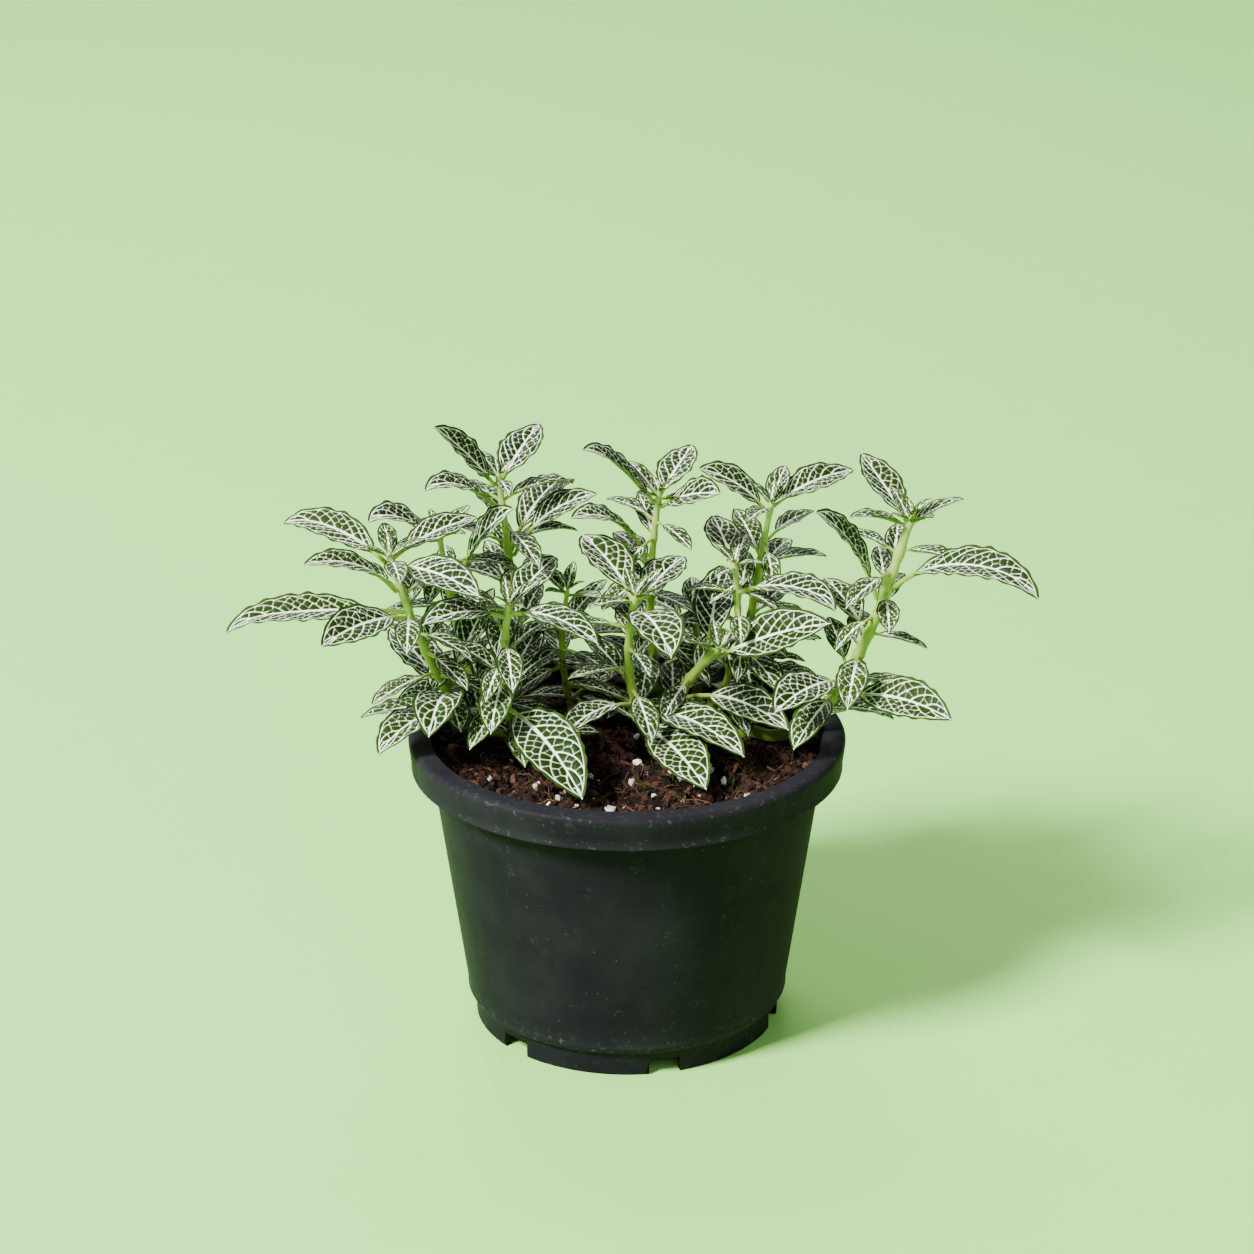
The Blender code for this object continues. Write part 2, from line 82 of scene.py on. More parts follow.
class Amount:
    """A number in a shader: a socket or a plain float, with arithmetic that adds Math nodes."""

    def __init__(self, graph: "Graph", source: "bpy.types.NodeSocket | float") -> None:
        """Wrap a source that belongs to a graph."""
        self.graph = graph
        self.source = source

    def apply(self, operation: str, *others: "Amount | float", clamp: bool = False) -> "Amount":
        """Return the result of a Math node.

        Args:
            operation: the node's operation name.
            others: the second and third operands, where the operation has them.
            clamp: keep the result between 0 and 1.
        """
        settings = {"operation": operation, "use_clamp": clamp}
        node = self.graph.node("ShaderNodeMath", settings, dict(enumerate((self, *others))))
        return Amount(self.graph, node.outputs[0])

    def __add__(self, other: "Amount | float") -> "Amount":
        """Add."""
        return self.apply("ADD", other)

    __radd__ = __add__

    def __mul__(self, other: "Amount | float") -> "Amount":
        """Multiply."""
        return self.apply("MULTIPLY", other)

    __rmul__ = __mul__

    def __sub__(self, other: "Amount | float") -> "Amount":
        """Subtract."""
        return self.apply("SUBTRACT", other)

    def __rsub__(self, other: float) -> "Amount":
        """Subtract this from a number."""
        return Amount(self.graph, other).apply("SUBTRACT", self)

    def __truediv__(self, other: "Amount | float") -> "Amount":
        """Divide."""
        return self.apply("DIVIDE", other)

    def __rtruediv__(self, other: float) -> "Amount":
        """Divide a number by this."""
        return Amount(self.graph, other).apply("DIVIDE", self)

    def __pow__(self, other: "Amount | float") -> "Amount":
        """Raise to a power."""
        return self.apply("POWER", other)

    def most(self, other: "Amount | float") -> "Amount":
        """Return the larger of two."""
        return self.apply("MAXIMUM", other)

    def step(self, low: float, high: float) -> "Amount":
        """Return 0 at `low`, 1 at `high` and a smooth rise between; the two may run backwards."""
        share = ((self - low) / (high - low)).apply("ADD", 0.0, clamp=True)
        return share * share * (3.0 - 2.0 * share)


class Tint:
    """A colour in a shader: a socket or a plain colour, mixed through Mix nodes."""

    def __init__(self, graph: "Graph", source: "bpy.types.NodeSocket | Rgb") -> None:
        """Wrap a source that belongs to a graph."""
        self.graph = graph
        self.source = source

    def mix(self, other: "Tint | Rgb", factor: "Amount | float", blend: str = "MIX") -> "Tint":
        """Return this colour mixed with another.

        Args:
            other: the second colour.
            factor: how much of it, from 0 to 1.
            blend: the Mix node's blend type.
        """
        settings = {"data_type": "RGBA", "blend_type": blend, "clamp_factor": True}
        node = self.graph.node("ShaderNodeMix", settings, {0: factor, 6: self, 7: other})
        return Tint(self.graph, node.outputs[2])

    def scaled(self, amount: Amount) -> "Tint":
        """Return this colour made lighter or darker."""
        node = self.graph.node(
            "ShaderNodeVectorMath", {"operation": "SCALE"}, {"Vector": self, "Scale": amount}
        )
        return Tint(self.graph, node.outputs[0])


class Graph:
    """The node tree of one material."""

    def __init__(self, name: str) -> None:
        """Start an empty material with its output node."""
        self.material = bpy.data.materials.new(name)
        self.material.use_nodes = True
        self.tree = self.material.node_tree
        self.tree.nodes.clear()
        self.out = self.tree.nodes.new("ShaderNodeOutputMaterial")

    def node(self, kind: str, settings: dict | None = None, inputs: dict | None = None) -> bpy.types.Node:
        """Add a node.

        Args:
            kind: the node's type name.
            settings: attributes to set on it.
            inputs: socket name or index to an amount, tint, socket or plain value.

        Returns:
            The new node.
        """
        made = self.tree.nodes.new(kind)
        for key, value in (settings or {}).items():
            setattr(made, key, value)
        for key, value in (inputs or {}).items():
            if isinstance(value, (Amount, Tint)):
                value = value.source
            socket = made.inputs[key]
            if isinstance(value, bpy.types.NodeSocket):
                self.tree.links.new(value, socket)
            elif socket.type == "RGBA" and len(value) == 3:
                socket.default_value = (*value, 1.0)
            else:
                socket.default_value = value
        return made

    def attribute(self, name: str) -> Amount:
        """Return a number stored on the mesh."""
        return Amount(self, self.node("ShaderNodeAttribute", {"attribute_name": name}).outputs["Fac"])

    def place(self, stretch: Rgb = (1.0, 1.0, 1.0), turn: Rgb = (0.0, 0.0, 0.0)) -> bpy.types.NodeSocket:
        """Return the object's own coordinates, stretched and turned."""
        where = self.node("ShaderNodeTexCoord").outputs["Object"]
        inputs = {"Vector": where, "Scale": stretch, "Rotation": turn}
        return self.node("ShaderNodeMapping", None, inputs).outputs[0]

    def noise(
        self, scale: float, detail: float = 3.0, rough: float = 0.5,
        vector: "bpy.types.NodeSocket | None" = None,
    ) -> Amount:
        """Return a cloudy pattern around 0.5."""
        inputs = {"Scale": scale, "Detail": detail, "Roughness": rough}
        inputs["Vector"] = vector or self.place()
        return Amount(self, self.node("ShaderNodeTexNoise", None, inputs).outputs[0])

    def cells(
        self, scale: float, vector: "bpy.types.NodeSocket | None" = None
    ) -> tuple[Amount, Amount]:
        """Return the distance to the nearest of scattered points, and a number for that point."""
        made = self.node("ShaderNodeTexVoronoi", None, {"Scale": scale, "Vector": vector or self.place()})
        split = self.node("ShaderNodeSeparateColor", None, {0: made.outputs["Color"]})
        return Amount(self, made.outputs["Distance"]), Amount(self, split.outputs[0])

    def tint(self, colour: Rgb) -> Tint:
        """Return a plain colour."""
        return Tint(self, colour)

    def bump(self, height: Amount, strength: float, distance: float) -> bpy.types.NodeSocket:
        """Return a normal bent by a height pattern."""
        inputs = {"Height": height, "Strength": strength, "Distance": distance}
        return self.node("ShaderNodeBump", None, inputs).outputs[0]

    def finish(self, **inputs: object) -> bpy.types.Material:
        """Add the surface and return the material; keywords are socket names with underscores."""
        named = {key.replace("_", " "): value for key, value in inputs.items()}
        surface = self.node("ShaderNodeBsdfPrincipled", None, named)
        self.tree.links.new(surface.outputs[0], self.out.inputs["Surface"])
        return self.material


class Finish(Enum):
    """The record's material slots."""

    POT = "pot_plastic"
    MIX = "potting_mix"
    STEM = "stem_green"
    LEAF = "leaf_green"


@dataclass(frozen=True)
class LeafSkin:
    """Upper face of dark green cells in a white net, and a paler underside."""

    deep: Rgb = (0.0046, 0.0160, 0.0008)
    lit: Rgb = (0.0098, 0.0275, 0.0016)
    young: Rgb = (0.060, 0.115, 0.009)
    band: Rgb = (0.0200, 0.0560, 0.0045)
    vein: Rgb = (0.86, 0.95, 0.73)
    vein_base: Rgb = (0.56, 0.72, 0.26)
    under: Rgb = (0.065, 0.150, 0.004)
    under_vein: Rgb = (0.22, 0.36, 0.05)
    name: str = "nerve_leaf"

    def build(self) -> bpy.types.Material:
        """Return the material."""
        graph = Graph(self.name)
        gap = graph.attribute("gap")
        rim = graph.attribute("rim")
        tone = graph.attribute("tone")
        cloud = graph.noise(260.0, 4.0, 0.6)
        blotch = graph.noise(1300.0, 2.0)
        light = (cloud.step(0.32, 0.7) * 0.45 + tone * 0.6 + blotch * 0.22 - 0.11).most(0.0)
        cell = graph.tint(self.deep).mix(self.lit, light)
        cell = cell.mix(self.young, graph.attribute("young"))
        cell = cell.mix(self.band, rim.step(0.85, 0.3) * 0.8)
        halo = gap.step(0.22, 0.0) * 0.10
        vein = graph.tint(self.vein).mix(self.vein_base, graph.attribute("base"))
        net = gap.step(0.06, -0.05)
        upper = cell.mix(vein, halo).mix(vein, net)
        lower = graph.tint(self.under).scaled(cloud * 0.5 + 0.75).mix(self.under_vein, net * 0.75)
        skin = upper.mix(lower, graph.attribute("under"))
        rough = 0.46 + net * 0.12
        grain = graph.noise(2600.0, 2.0)
        return graph.finish(
            Base_Color=skin, Roughness=rough, Specular_IOR_Level=0.06,
            Normal=graph.bump(grain, 0.25, 0.0001),
        )


@dataclass(frozen=True)
class StemSkin:
    """Juicy green at the foot, paler and creamier towards the tip."""

    foot: Rgb = (0.130, 0.215, 0.014)
    middle: Rgb = (0.225, 0.340, 0.030)
    top: Rgb = (0.370, 0.470, 0.130)
    name: str = "nerve_stem"

    def build(self) -> bpy.types.Material:
        """Return the material."""
        graph = Graph(self.name)
        along = graph.attribute("along")
        streak = graph.noise(900.0, 3.0, 0.6, graph.place((1.0, 1.0, 0.12)))
        blotch = graph.noise(240.0, 2.0)
        body = graph.tint(self.foot).mix(self.middle, along.step(0.0, 0.45))
        body = body.mix(self.top, along.step(0.55, 1.0))
        body = body.scaled(streak * 0.45 + blotch * 0.35 + 0.6)
        return graph.finish(
            Base_Color=body, Roughness=0.42, Specular_IOR_Level=0.5,
            Sheen_Weight=0.25, Sheen_Roughness=0.4,
            Normal=graph.bump(streak, 0.3, 0.0001),
        )


@dataclass(frozen=True)
class EarthSkin:
    """A grain of the potting mix: two colours, mixed by each grain's own tone."""

    name: str
    dark: Rgb
    light: Rgb
    grain: float = 1500.0
    rough: float = 0.9
    relief: float = 0.6

    def build(self) -> bpy.types.Material:
        """Return the material."""
        graph = Graph(self.name)
        fleck = graph.noise(self.grain, 4.0, 0.65)
        share = graph.attribute("tone") * 0.8 + fleck.step(0.3, 0.75) * 0.4
        colour = graph.tint(self.dark).mix(self.light, share - 0.1)
        bump = graph.bump(fleck, self.relief, 0.0003)
        return graph.finish(Base_Color=colour, Roughness=self.rough, Specular_IOR_Level=0.15, Normal=bump)


@dataclass(frozen=True)
class PotSkin:
    """Black moulded plastic, dulled and lightly scuffed by handling."""

    body: Rgb = (0.0076, 0.0070, 0.0098)
    dull: Rgb = (0.0160, 0.0152, 0.0190)
    scuff: Rgb = (0.075, 0.090, 0.080)
    name: str = "pot_black"

    def build(self) -> bpy.types.Material:
        """Return the material."""
        graph = Graph(self.name)
        cloud = graph.noise(38.0, 5.0, 0.6)
        film = graph.noise(210.0, 4.0, 0.6)
        wear = graph.attribute("wear")
        colour = graph.tint(self.body).mix(self.dull, cloud.step(0.35, 0.75) * 0.8 + wear * 0.4)
        marks = self.scratches(graph, (0.16, 1.0, 1.0), (0.3, 0.5, 0.2), 1500.0)
        marks = marks.most(self.scratches(graph, (1.0, 0.15, 0.9), (0.1, 0.2, 0.9), 1250.0))
        distance, pick = graph.cells(420.0)
        specks = distance.step(0.085, 0.045) * pick.step(0.57, 0.62)
        rub = graph.noise(620.0, 3.0, 0.7).step(0.56, 0.72) * wear * 0.55
        mark = (marks * 0.30).most(specks * 0.75).most(rub)
        colour = colour.mix(self.scuff, mark)
        rough = 0.40 + film * 0.14 + cloud * 0.12 + mark * 0.2
        fine = graph.noise(4200.0, 2.0)
        return graph.finish(
            Base_Color=colour, Roughness=rough, Specular_IOR_Level=0.03,
            Normal=graph.bump(fine, 0.12, 0.00006),
        )

    @staticmethod
    def scratches(graph: Graph, stretch: Rgb, turn: Rgb, scale: float) -> Amount:
        """Return short fine lines: the crests of a stretched pattern, kept only here and there."""
        lines = graph.noise(scale * 0.45, 1.0, 0.5, graph.place(stretch, turn))
        crest = 1.0 - (lines - 0.5).apply("ABSOLUTE") * 60.0
        keep = graph.noise(170.0, 2.0).step(0.62, 0.70)
        return crest.most(0.0) * keep


@dataclass(frozen=True)
class PlainSkin:
    """A plain finish with a faint grain."""

    name: str
    colour: Rgb
    rough: float = 0.9
    spread: float = 0.06
    grain: float = 300.0

    def build(self) -> bpy.types.Material:
        """Return the material."""
        graph = Graph(self.name)
        grain = graph.noise(self.grain, 3.0)
        colour = graph.tint(self.colour).scaled(grain * self.spread + (1.0 - self.spread / 2))
        return graph.finish(Base_Color=colour, Roughness=self.rough)


# ---------------------------------------------------------------- shapes


@dataclass
class Shape:
    """Points in mm, faces of four corners, and what each point and corner carries."""

    points: Array
    faces: Array
    values: dict[str, Array] = field(default_factory=dict)
    sheet: Array | None = None
    slots: Array | None = None

    def with_value(self, name: str, value: "Array | float") -> "Shape":
        """Store one number per point and return the shape."""
        self.values[name] = np.broadcast_to(np.asarray(value, float), (len(self.points),)).copy()
        return self

    def in_slot(self, index: int) -> "Shape":
        """Give every face a material index and return the shape."""
        self.slots = np.full(len(self.faces), index)
        return self

    @staticmethod
    def merged(parts: "list[Shape]", weights: "list[float] | None" = None) -> "Shape":
        """Join shapes into one, with each one's sheet in its own part of the whole sheet.

        Args:
            parts: the shapes; each has a sheet of (face, corner, 2).
            weights: width shares for a single row of sheets; without them a square grid is used.
        """
        names = sorted({name for part in parts for name in part.values})
        across = math.ceil(math.sqrt(len(parts)))
        edges = np.concatenate([[0.0], np.cumsum(weights)]) / sum(weights) if weights else None
        points, faces, sheets, slots, start = [], [], [], [], 0
        values: dict[str, list[Array]] = {name: [] for name in names}
        for index, part in enumerate(parts):
            points.append(part.points)
            faces.append(part.faces + start)
            start += len(part.points)
            sheet = part.sheet if part.sheet is not None else np.zeros((len(part.faces), 4, 2))
            if edges is None:
                corner = np.array([index % across, index // across]) / across
                sheets.append(corner + sheet * 0.94 / across + 0.03 / across)
            else:
                span = edges[index + 1] - edges[index]
                low = np.array([edges[index] + 0.03 * span, 0.0])
                sheets.append(low + sheet * np.array([span * 0.94, 1.0]))
            slots.append(part.slots if part.slots is not None else np.zeros(len(part.faces), int))
            for name in names:
                values[name].append(part.values.get(name, np.zeros(len(part.points))))
        return Shape(
            np.concatenate(points), np.concatenate(faces),
            {name: np.concatenate(stack) for name, stack in values.items()},
            np.concatenate(sheets), np.concatenate(slots),
        )

    def to_object(
        self, name: str, materials: list[bpy.types.Material], smooth: bool = True,
    ) -> bpy.types.Object:
        """Make an object, in metres.

        Args:
            name: the object's name.
            materials: one for each material index used.
            smooth: shade it smooth.
        """
        mesh = bpy.data.meshes.new(name)
        mesh.vertices.add(len(self.points))
        mesh.vertices.foreach_set("co", (self.points * MM).astype(np.float32).ravel())
        mesh.loops.add(self.faces.size)
        mesh.loops.foreach_set("vertex_index", self.faces.astype(np.int32).ravel())
        mesh.polygons.add(len(self.faces))
        mesh.polygons.foreach_set("loop_start", np.arange(len(self.faces), dtype=np.int32) * 4)
        mesh.polygons.foreach_set("use_smooth", np.full(len(self.faces), smooth))
        if self.slots is not None:
            mesh.polygons.foreach_set("material_index", self.slots.astype(np.int32))
        if self.sheet is not None:
            layer = mesh.uv_layers.new(name="OFBake")
            layer.data.foreach_set("uv", self.sheet.astype(np.float32).ravel())
        for key, value in self.values.items():
            stored = mesh.attributes.new(key, "FLOAT", "POINT")
            stored.data.foreach_set("value", value.astype(np.float32))
        mesh.update(calc_edges=True)
        for material in materials:
            mesh.materials.append(material)
        made = bpy.data.objects.new(name, mesh)
        bpy.context.scene.collection.objects.link(made)
        return made


def ring_faces(rings: int, around: int) -> tuple[Array, Array]:
    """Return the faces of a closed tube of rings, with both ends closed, and their sheet.

    Args:
        rings: number of rings along the tube.
        around: points in each ring, an even number.
    """
    i, k = np.meshgrid(np.arange(rings - 1), np.arange(around), indexing="ij")
    i, k = i.ravel(), k.ravel()
    follow = (k + 1) % around
    side = np.stack([i * around + k, i * around + follow, (i + 1) * around + follow, (i + 1) * around + k], 1)
    u0, u1 = k / around, (k + 1) / around
    v0, v1 = i / (rings - 1), (i + 1) / (rings - 1)
    sheet = np.stack([np.stack(p, 1) for p in ((u0, v0), (u1, v0), (u1, v1), (u0, v1))], 1)
    half = np.arange(around // 2 - 1)
    first = np.stack([half, around - 1 - half, around - 2 - half, half + 1], 1)
    last = np.stack([half, half + 1, around - 2 - half, around - 1 - half], 1) + (rings - 1) * around
    caps = np.concatenate([first, last])
    corner = np.zeros((len(caps), 4, 2))
    corner[len(first):, :, 1] = 1.0
    corner[:, :, 0] = 0.5
    return np.concatenate([side, caps]), np.concatenate([sheet, corner])


def unit(vectors: Array) -> Array:
    """Return vectors scaled to length 1."""
    return vectors / np.maximum(np.linalg.norm(vectors, axis=-1, keepdims=True), 1e-9)


class Curve:
    """A smooth line through points, measured by the distance walked along it."""

    def __init__(self, points: Array) -> None:
        """Fit the line to the points."""
        self.points = np.asarray(points, float)
        steps = np.linalg.norm(np.diff(self.points, axis=0), axis=1)
        self.stops = np.concatenate([[0.0], np.cumsum(steps)])
        self.length = float(self.stops[-1])

    def carry(self, values: Array, walked: Array) -> Array:
        """Return values known at the line's points, smoothly carried to other distances.

        Args:
            values: one row for each point of the line.
            walked: distances along the line.

        Returns:
            One row for each distance.
        """
        stops = self.stops
        pace = np.diff(values, axis=0) / np.diff(stops)[:, None]
        slopes = np.empty_like(values)
        slopes[0], slopes[-1] = pace[0], pace[-1]
        before, after = np.diff(stops)[:-1, None], np.diff(stops)[1:, None]
        slopes[1:-1] = (pace[:-1] * after + pace[1:] * before) / (before + after)
        index = np.clip(np.searchsorted(stops, walked, side="right") - 1, 0, len(stops) - 2)
        span = (stops[index + 1] - stops[index])[:, None]
        share = (np.clip(walked, 0.0, self.length)[:, None] - stops[index][:, None]) / span
        square, cube = share ** 2, share ** 3
        return (
            values[index] * (2 * cube - 3 * square + 1) + slopes[index] * span * (cube - 2 * square + share)
            + values[index + 1] * (3 * square - 2 * cube) + slopes[index + 1] * span * (cube - square)
        )

    def at(self, walked: Array) -> Array:
        """Return the points at distances along the line."""
        return self.carry(self.points, np.asarray(walked, float))

    def nearest(self, point: Array) -> float:
        """Return the distance along the line of its point nearest to a point."""
        walked = np.linspace(0.0, self.length, 400)
        return float(walked[np.argmin(np.linalg.norm(self.at(walked) - point, axis=1))])

    def first_above(self, height: float) -> float:
        """Return the distance at which the line first reaches a height."""
        walked = np.linspace(0.0, self.length, 400)
        above = np.nonzero(self.at(walked)[:, 2] >= height)[0]
        return float(walked[above[0]]) if len(above) else self.length


def tube(centres: Array, radii: Array, around: int = 10) -> Shape:
    """Return a round tube along points, with a pointed look where its radii shrink.

    Args:
        centres: points along its middle.
        radii: its radius at each point.
        around: points in each ring.

    Returns:
        The tube, with both ends closed.
    """
    ahead = unit(np.gradient(centres, axis=0))
    side = np.zeros_like(centres)
    seed = np.array([1.0, 0.0, 0.0]) if abs(ahead[0, 0]) < 0.8 else np.array([0.0, 1.0, 0.0])
    for index, direction in enumerate(ahead):
        seed = seed - direction * float(seed @ direction)
        seed = seed / np.linalg.norm(seed)
        side[index] = seed
    other = np.cross(ahead, side)
    angles = np.arange(around) * math.tau / around
    spokes = side[:, None] * np.cos(angles)[None, :, None] + other[:, None] * np.sin(angles)[None, :, None]
    points = centres[:, None] + spokes * np.asarray(radii)[:, None, None]
    faces, sheet = ring_faces(len(centres), around)
    shape = Shape(points.reshape(-1, 3), faces, {}, sheet)
    return shape.with_value("along", np.repeat(np.linspace(0, 1, len(centres)), around))


def lump(rng: np.random.Generator, cuts: int = 2, knobs: float = 0.25) -> Shape:
    """Return a rough rounded lump about 1 mm in radius.

    Args:
        rng: source of its irregularity.
        cuts: cuts along each edge of the cube that it starts from.
        knobs: how far its surface strays from a ball.

    Returns:
        The lump.
    """
    side = np.linspace(-1.0, 1.0, cuts + 1)
    points, faces, seen = [], [], {}
    for axis in range(3):
        for sign in (-1.0, 1.0):
            grid = np.empty((cuts + 1, cuts + 1), int)
            for i, a in enumerate(side):
                for j, b in enumerate(side):
                    spot = np.insert(np.array([a, b]), axis, sign)
                    key = tuple(np.round(spot, 4))
                    grid[i, j] = seen.setdefault(key, len(seen))
                    if grid[i, j] == len(points):
                        points.append(spot)
            for i in range(cuts):
                for j in range(cuts):
                    face = [grid[i, j], grid[i + 1, j], grid[i + 1, j + 1], grid[i, j + 1]]
                    flip = (sign > 0) == (axis == 1)
                    faces.append(face[::-1] if flip else face)
    round_points = unit(np.array(points))
    round_points *= 1.0 + rng.uniform(-knobs, knobs, (len(points), 1))
    sheet = np.tile(np.array([[0, 0], [1, 0], [1, 1], [0, 1]], float), (len(faces), 1, 1))
    return Shape(round_points, np.array(faces), {}, sheet)


def turned(angles: Array) -> Array:
    """Return the rotation matrix for turns about X, Y and Z, applied in that order."""
    cx, cy, cz = np.cos(angles)
    sx, sy, sz = np.sin(angles)
    about_x = np.array([[1, 0, 0], [0, cx, -sx], [0, sx, cx]])
    about_y = np.array([[cy, 0, sy], [0, 1, 0], [-sy, 0, cy]])
    about_z = np.array([[cz, -sz, 0], [sz, cz, 0], [0, 0, 1]])
    return about_z @ about_y @ about_x


# ---------------------------------------------------------------- reading the CAD plant


class CadSkin:
    """A CAD node's mesh as distinct points and their neighbours, in mm."""

    WELD = 0.002

    def __init__(self, node: str) -> None:
        """Read the node.

        Args:
            node: name of the CAD node.
        """
        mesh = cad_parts[node].data
        raw = np.array([vertex.co for vertex in mesh.vertices]) / MM
        keys = np.round(raw / self.WELD).astype(np.int64)
        _, first, index = np.unique(keys, axis=0, return_index=True, return_inverse=True)
        index = index.ravel()
        self.points = raw[first]
        self.near: list[set[int]] = [set() for _ in first]
        for edge in mesh.edges:
            a, b = index[edge.vertices[0]], index[edge.vertices[1]]
            if a != b:
                self.near[a].add(b)
                self.near[b].add(a)

    def layers(self, seeds: set[int]) -> list[list[int]]:
        """Return the points in layers, each one edge further from the seeds than the last."""
        found = [sorted(seeds)]
        seen = set(seeds)
        while True:
            reached = {b for a in found[-1] for b in self.near[a]} - seen
            if not reached:
                return found
            found.append(sorted(reached))
            seen |= reached

    def roundness(self, hub: int) -> float:
        """Return how round the ring about a point is, from 0 for flat to 1."""
        ring = self.points[sorted(self.near[hub])]
        spread = np.linalg.svd(ring - ring.mean(0), compute_uv=False)
        return float(spread[1] / spread[0])


@dataclass
class Spine:
    """The middle line of a leaf, from the start of its petiole to its tip, in mm."""

    points: Array
    across: Array
    start: int
    half_width: float

    @staticmethod
    def from_cad(node: str) -> "Spine":
        """Read a CAD leaf's line, directions and width back from its rings of eight points.

        Args:
            node: name of the CAD leaf.

        Returns:
            The leaf's line.
        """
        skin = CadSkin(node)
        shape = [1] + [8] * 9 + [1]
        found = {hub: skin.layers({hub}) for hub in range(len(skin.points)) if len(skin.near[hub]) == 8}
        ends = [hub for hub, layers in found.items() if [len(layer) for layer in layers] == shape]
        rings = [skin.points[layer] for layer in found[max(ends, key=skin.roundness)]]
        middles, sides, reaches = [], [], []
        for ring in rings[3:-1]:
            middle, side, reach = Spine.section(ring)
            middles.append(middle)
            sides.append(side)
            reaches.append(reach)
        points = np.array([rings[0][0], rings[1].mean(0), rings[2].mean(0), *middles, rings[-1][0]])
        ahead = unit(np.gradient(points, axis=0))[3:-1]
        ups = np.array([Spine.upward(ring) for ring in rings[3:-1]])
        across = np.array(sides)
        across *= np.sign(np.sum(np.cross(ahead, ups) * across, axis=1))[:, None]
        across = np.concatenate([across[:1].repeat(3, 0), across, across[-1:]])
        curve = Curve(points)
        shares = (curve.stops[3:-1] - curve.stops[2]) / (curve.length - curve.stops[2])
        widths = np.array(reaches) / blade_outline(shares)
        return Spine(points, across, 2, float(np.median(widths[1:-1])))

    @staticmethod
    def section(ring: Array) -> tuple[Array, Array, float]:
        """Return a ring's middle, its across direction and its half width along the blade."""
        apart = np.linalg.norm(ring[:, None] - ring[None], axis=2)
        a, b = np.unravel_index(np.argmax(apart), apart.shape)
        side = (ring[a] - ring[b]) / apart[a, b]
        level = (ring - (ring[a] + ring[b]) / 2) @ side
        pair = np.argsort(np.abs(level))[:2]
        return ring[pair].mean(0), side, apart[a, b] / 2 / math.cos(math.radians(17))

    @staticmethod
    def upward(ring: Array) -> Array:
        """Return a ring's upward direction: its two middle points, the upper nearer the edges' chord."""
        apart = np.linalg.norm(ring[:, None] - ring[None], axis=2)
        a, b = np.unravel_index(np.argmax(apart), apart.shape)
        chord = (ring[a] + ring[b]) / 2
        side = (ring[a] - ring[b]) / apart[a, b]
        pair = np.argsort(np.abs((ring - chord) @ side))[:2]
        first, second = sorted(pair, key=lambda n: np.linalg.norm(ring[n] - chord))
        return unit(ring[first] - ring[second])

    @staticmethod
    def grown(base: Array, leaf: "Sprig") -> "Spine":
        """Return the line of a leaf that is described by angles and lengths.

        Args:
            base: point on the stem that it grows from.
            leaf: its angles and lengths.

        Returns:
            The leaf's line.
        """
        azimuth = math.radians(leaf.azimuth)
        outward = np.array([math.cos(azimuth), math.sin(azimuth), 0.0])
        side = np.array([math.sin(azimuth), -math.cos(azimuth), 0.0])
        total = leaf.petiole + leaf.blade
        stops = np.concatenate([[0.0, 0.5 * leaf.petiole], leaf.petiole + leaf.blade * np.linspace(0, 1, 9)])
        steps = 160
        fine = np.linspace(0.0, total, steps)
        share = np.clip((fine - leaf.petiole) / leaf.blade, 0.0, 1.0)
        curl = leaf.curl * np.maximum(0.0, (share - 0.6) / 0.4)
        angle = np.radians(leaf.rise - leaf.droop * fine / total - curl)
        ahead = outward * np.cos(angle)[:, None] + np.array([0.0, 0.0, 1.0]) * np.sin(angle)[:, None]
        walk = base + np.concatenate([np.zeros((1, 3)), np.cumsum(ahead[:-1] * total / (steps - 1), axis=0)])
        points = np.stack([np.interp(stops, fine, walk[:, axis]) for axis in range(3)], 1)
        there = np.stack([np.interp(stops, fine, ahead[:, axis]) for axis in range(3)], 1)
        roll = math.radians(leaf.roll)
        across = side * math.cos(roll) + np.cross(side, there) * math.sin(roll)
        return Spine(points, across, 2, leaf.width / 2)


def blade_outline(share: Array) -> Array:
    """Return a blade's half width at a share of its length, as a share of its greatest."""
    return np.sin(np.pi * np.clip(share, 0.0, 1.0) ** 0.85).clip(1e-6) ** 0.85


def fine_outline(share: Array) -> Array:
    """Return the finer blade's half width in the same way: an ellipse drawn out at both ends."""
    return np.sin(np.pi * np.clip(share, 0.0, 1.0) ** 0.94).clip(1e-6) ** 0.76


@dataclass(frozen=True)
class Sprig:
    """A young leaf: its stem, its height above the mix in mm, and its shape in mm and degrees."""

    stem: str
    up: float
    azimuth: float
    rise: float
    blade: float
    width: float
    petiole: float = 2.0
    droop: float = 20.0
    curl: float = 0.0
    roll: float = 0.0
    young: float = 0.15


# ---------------------------------------------------------------- leaves


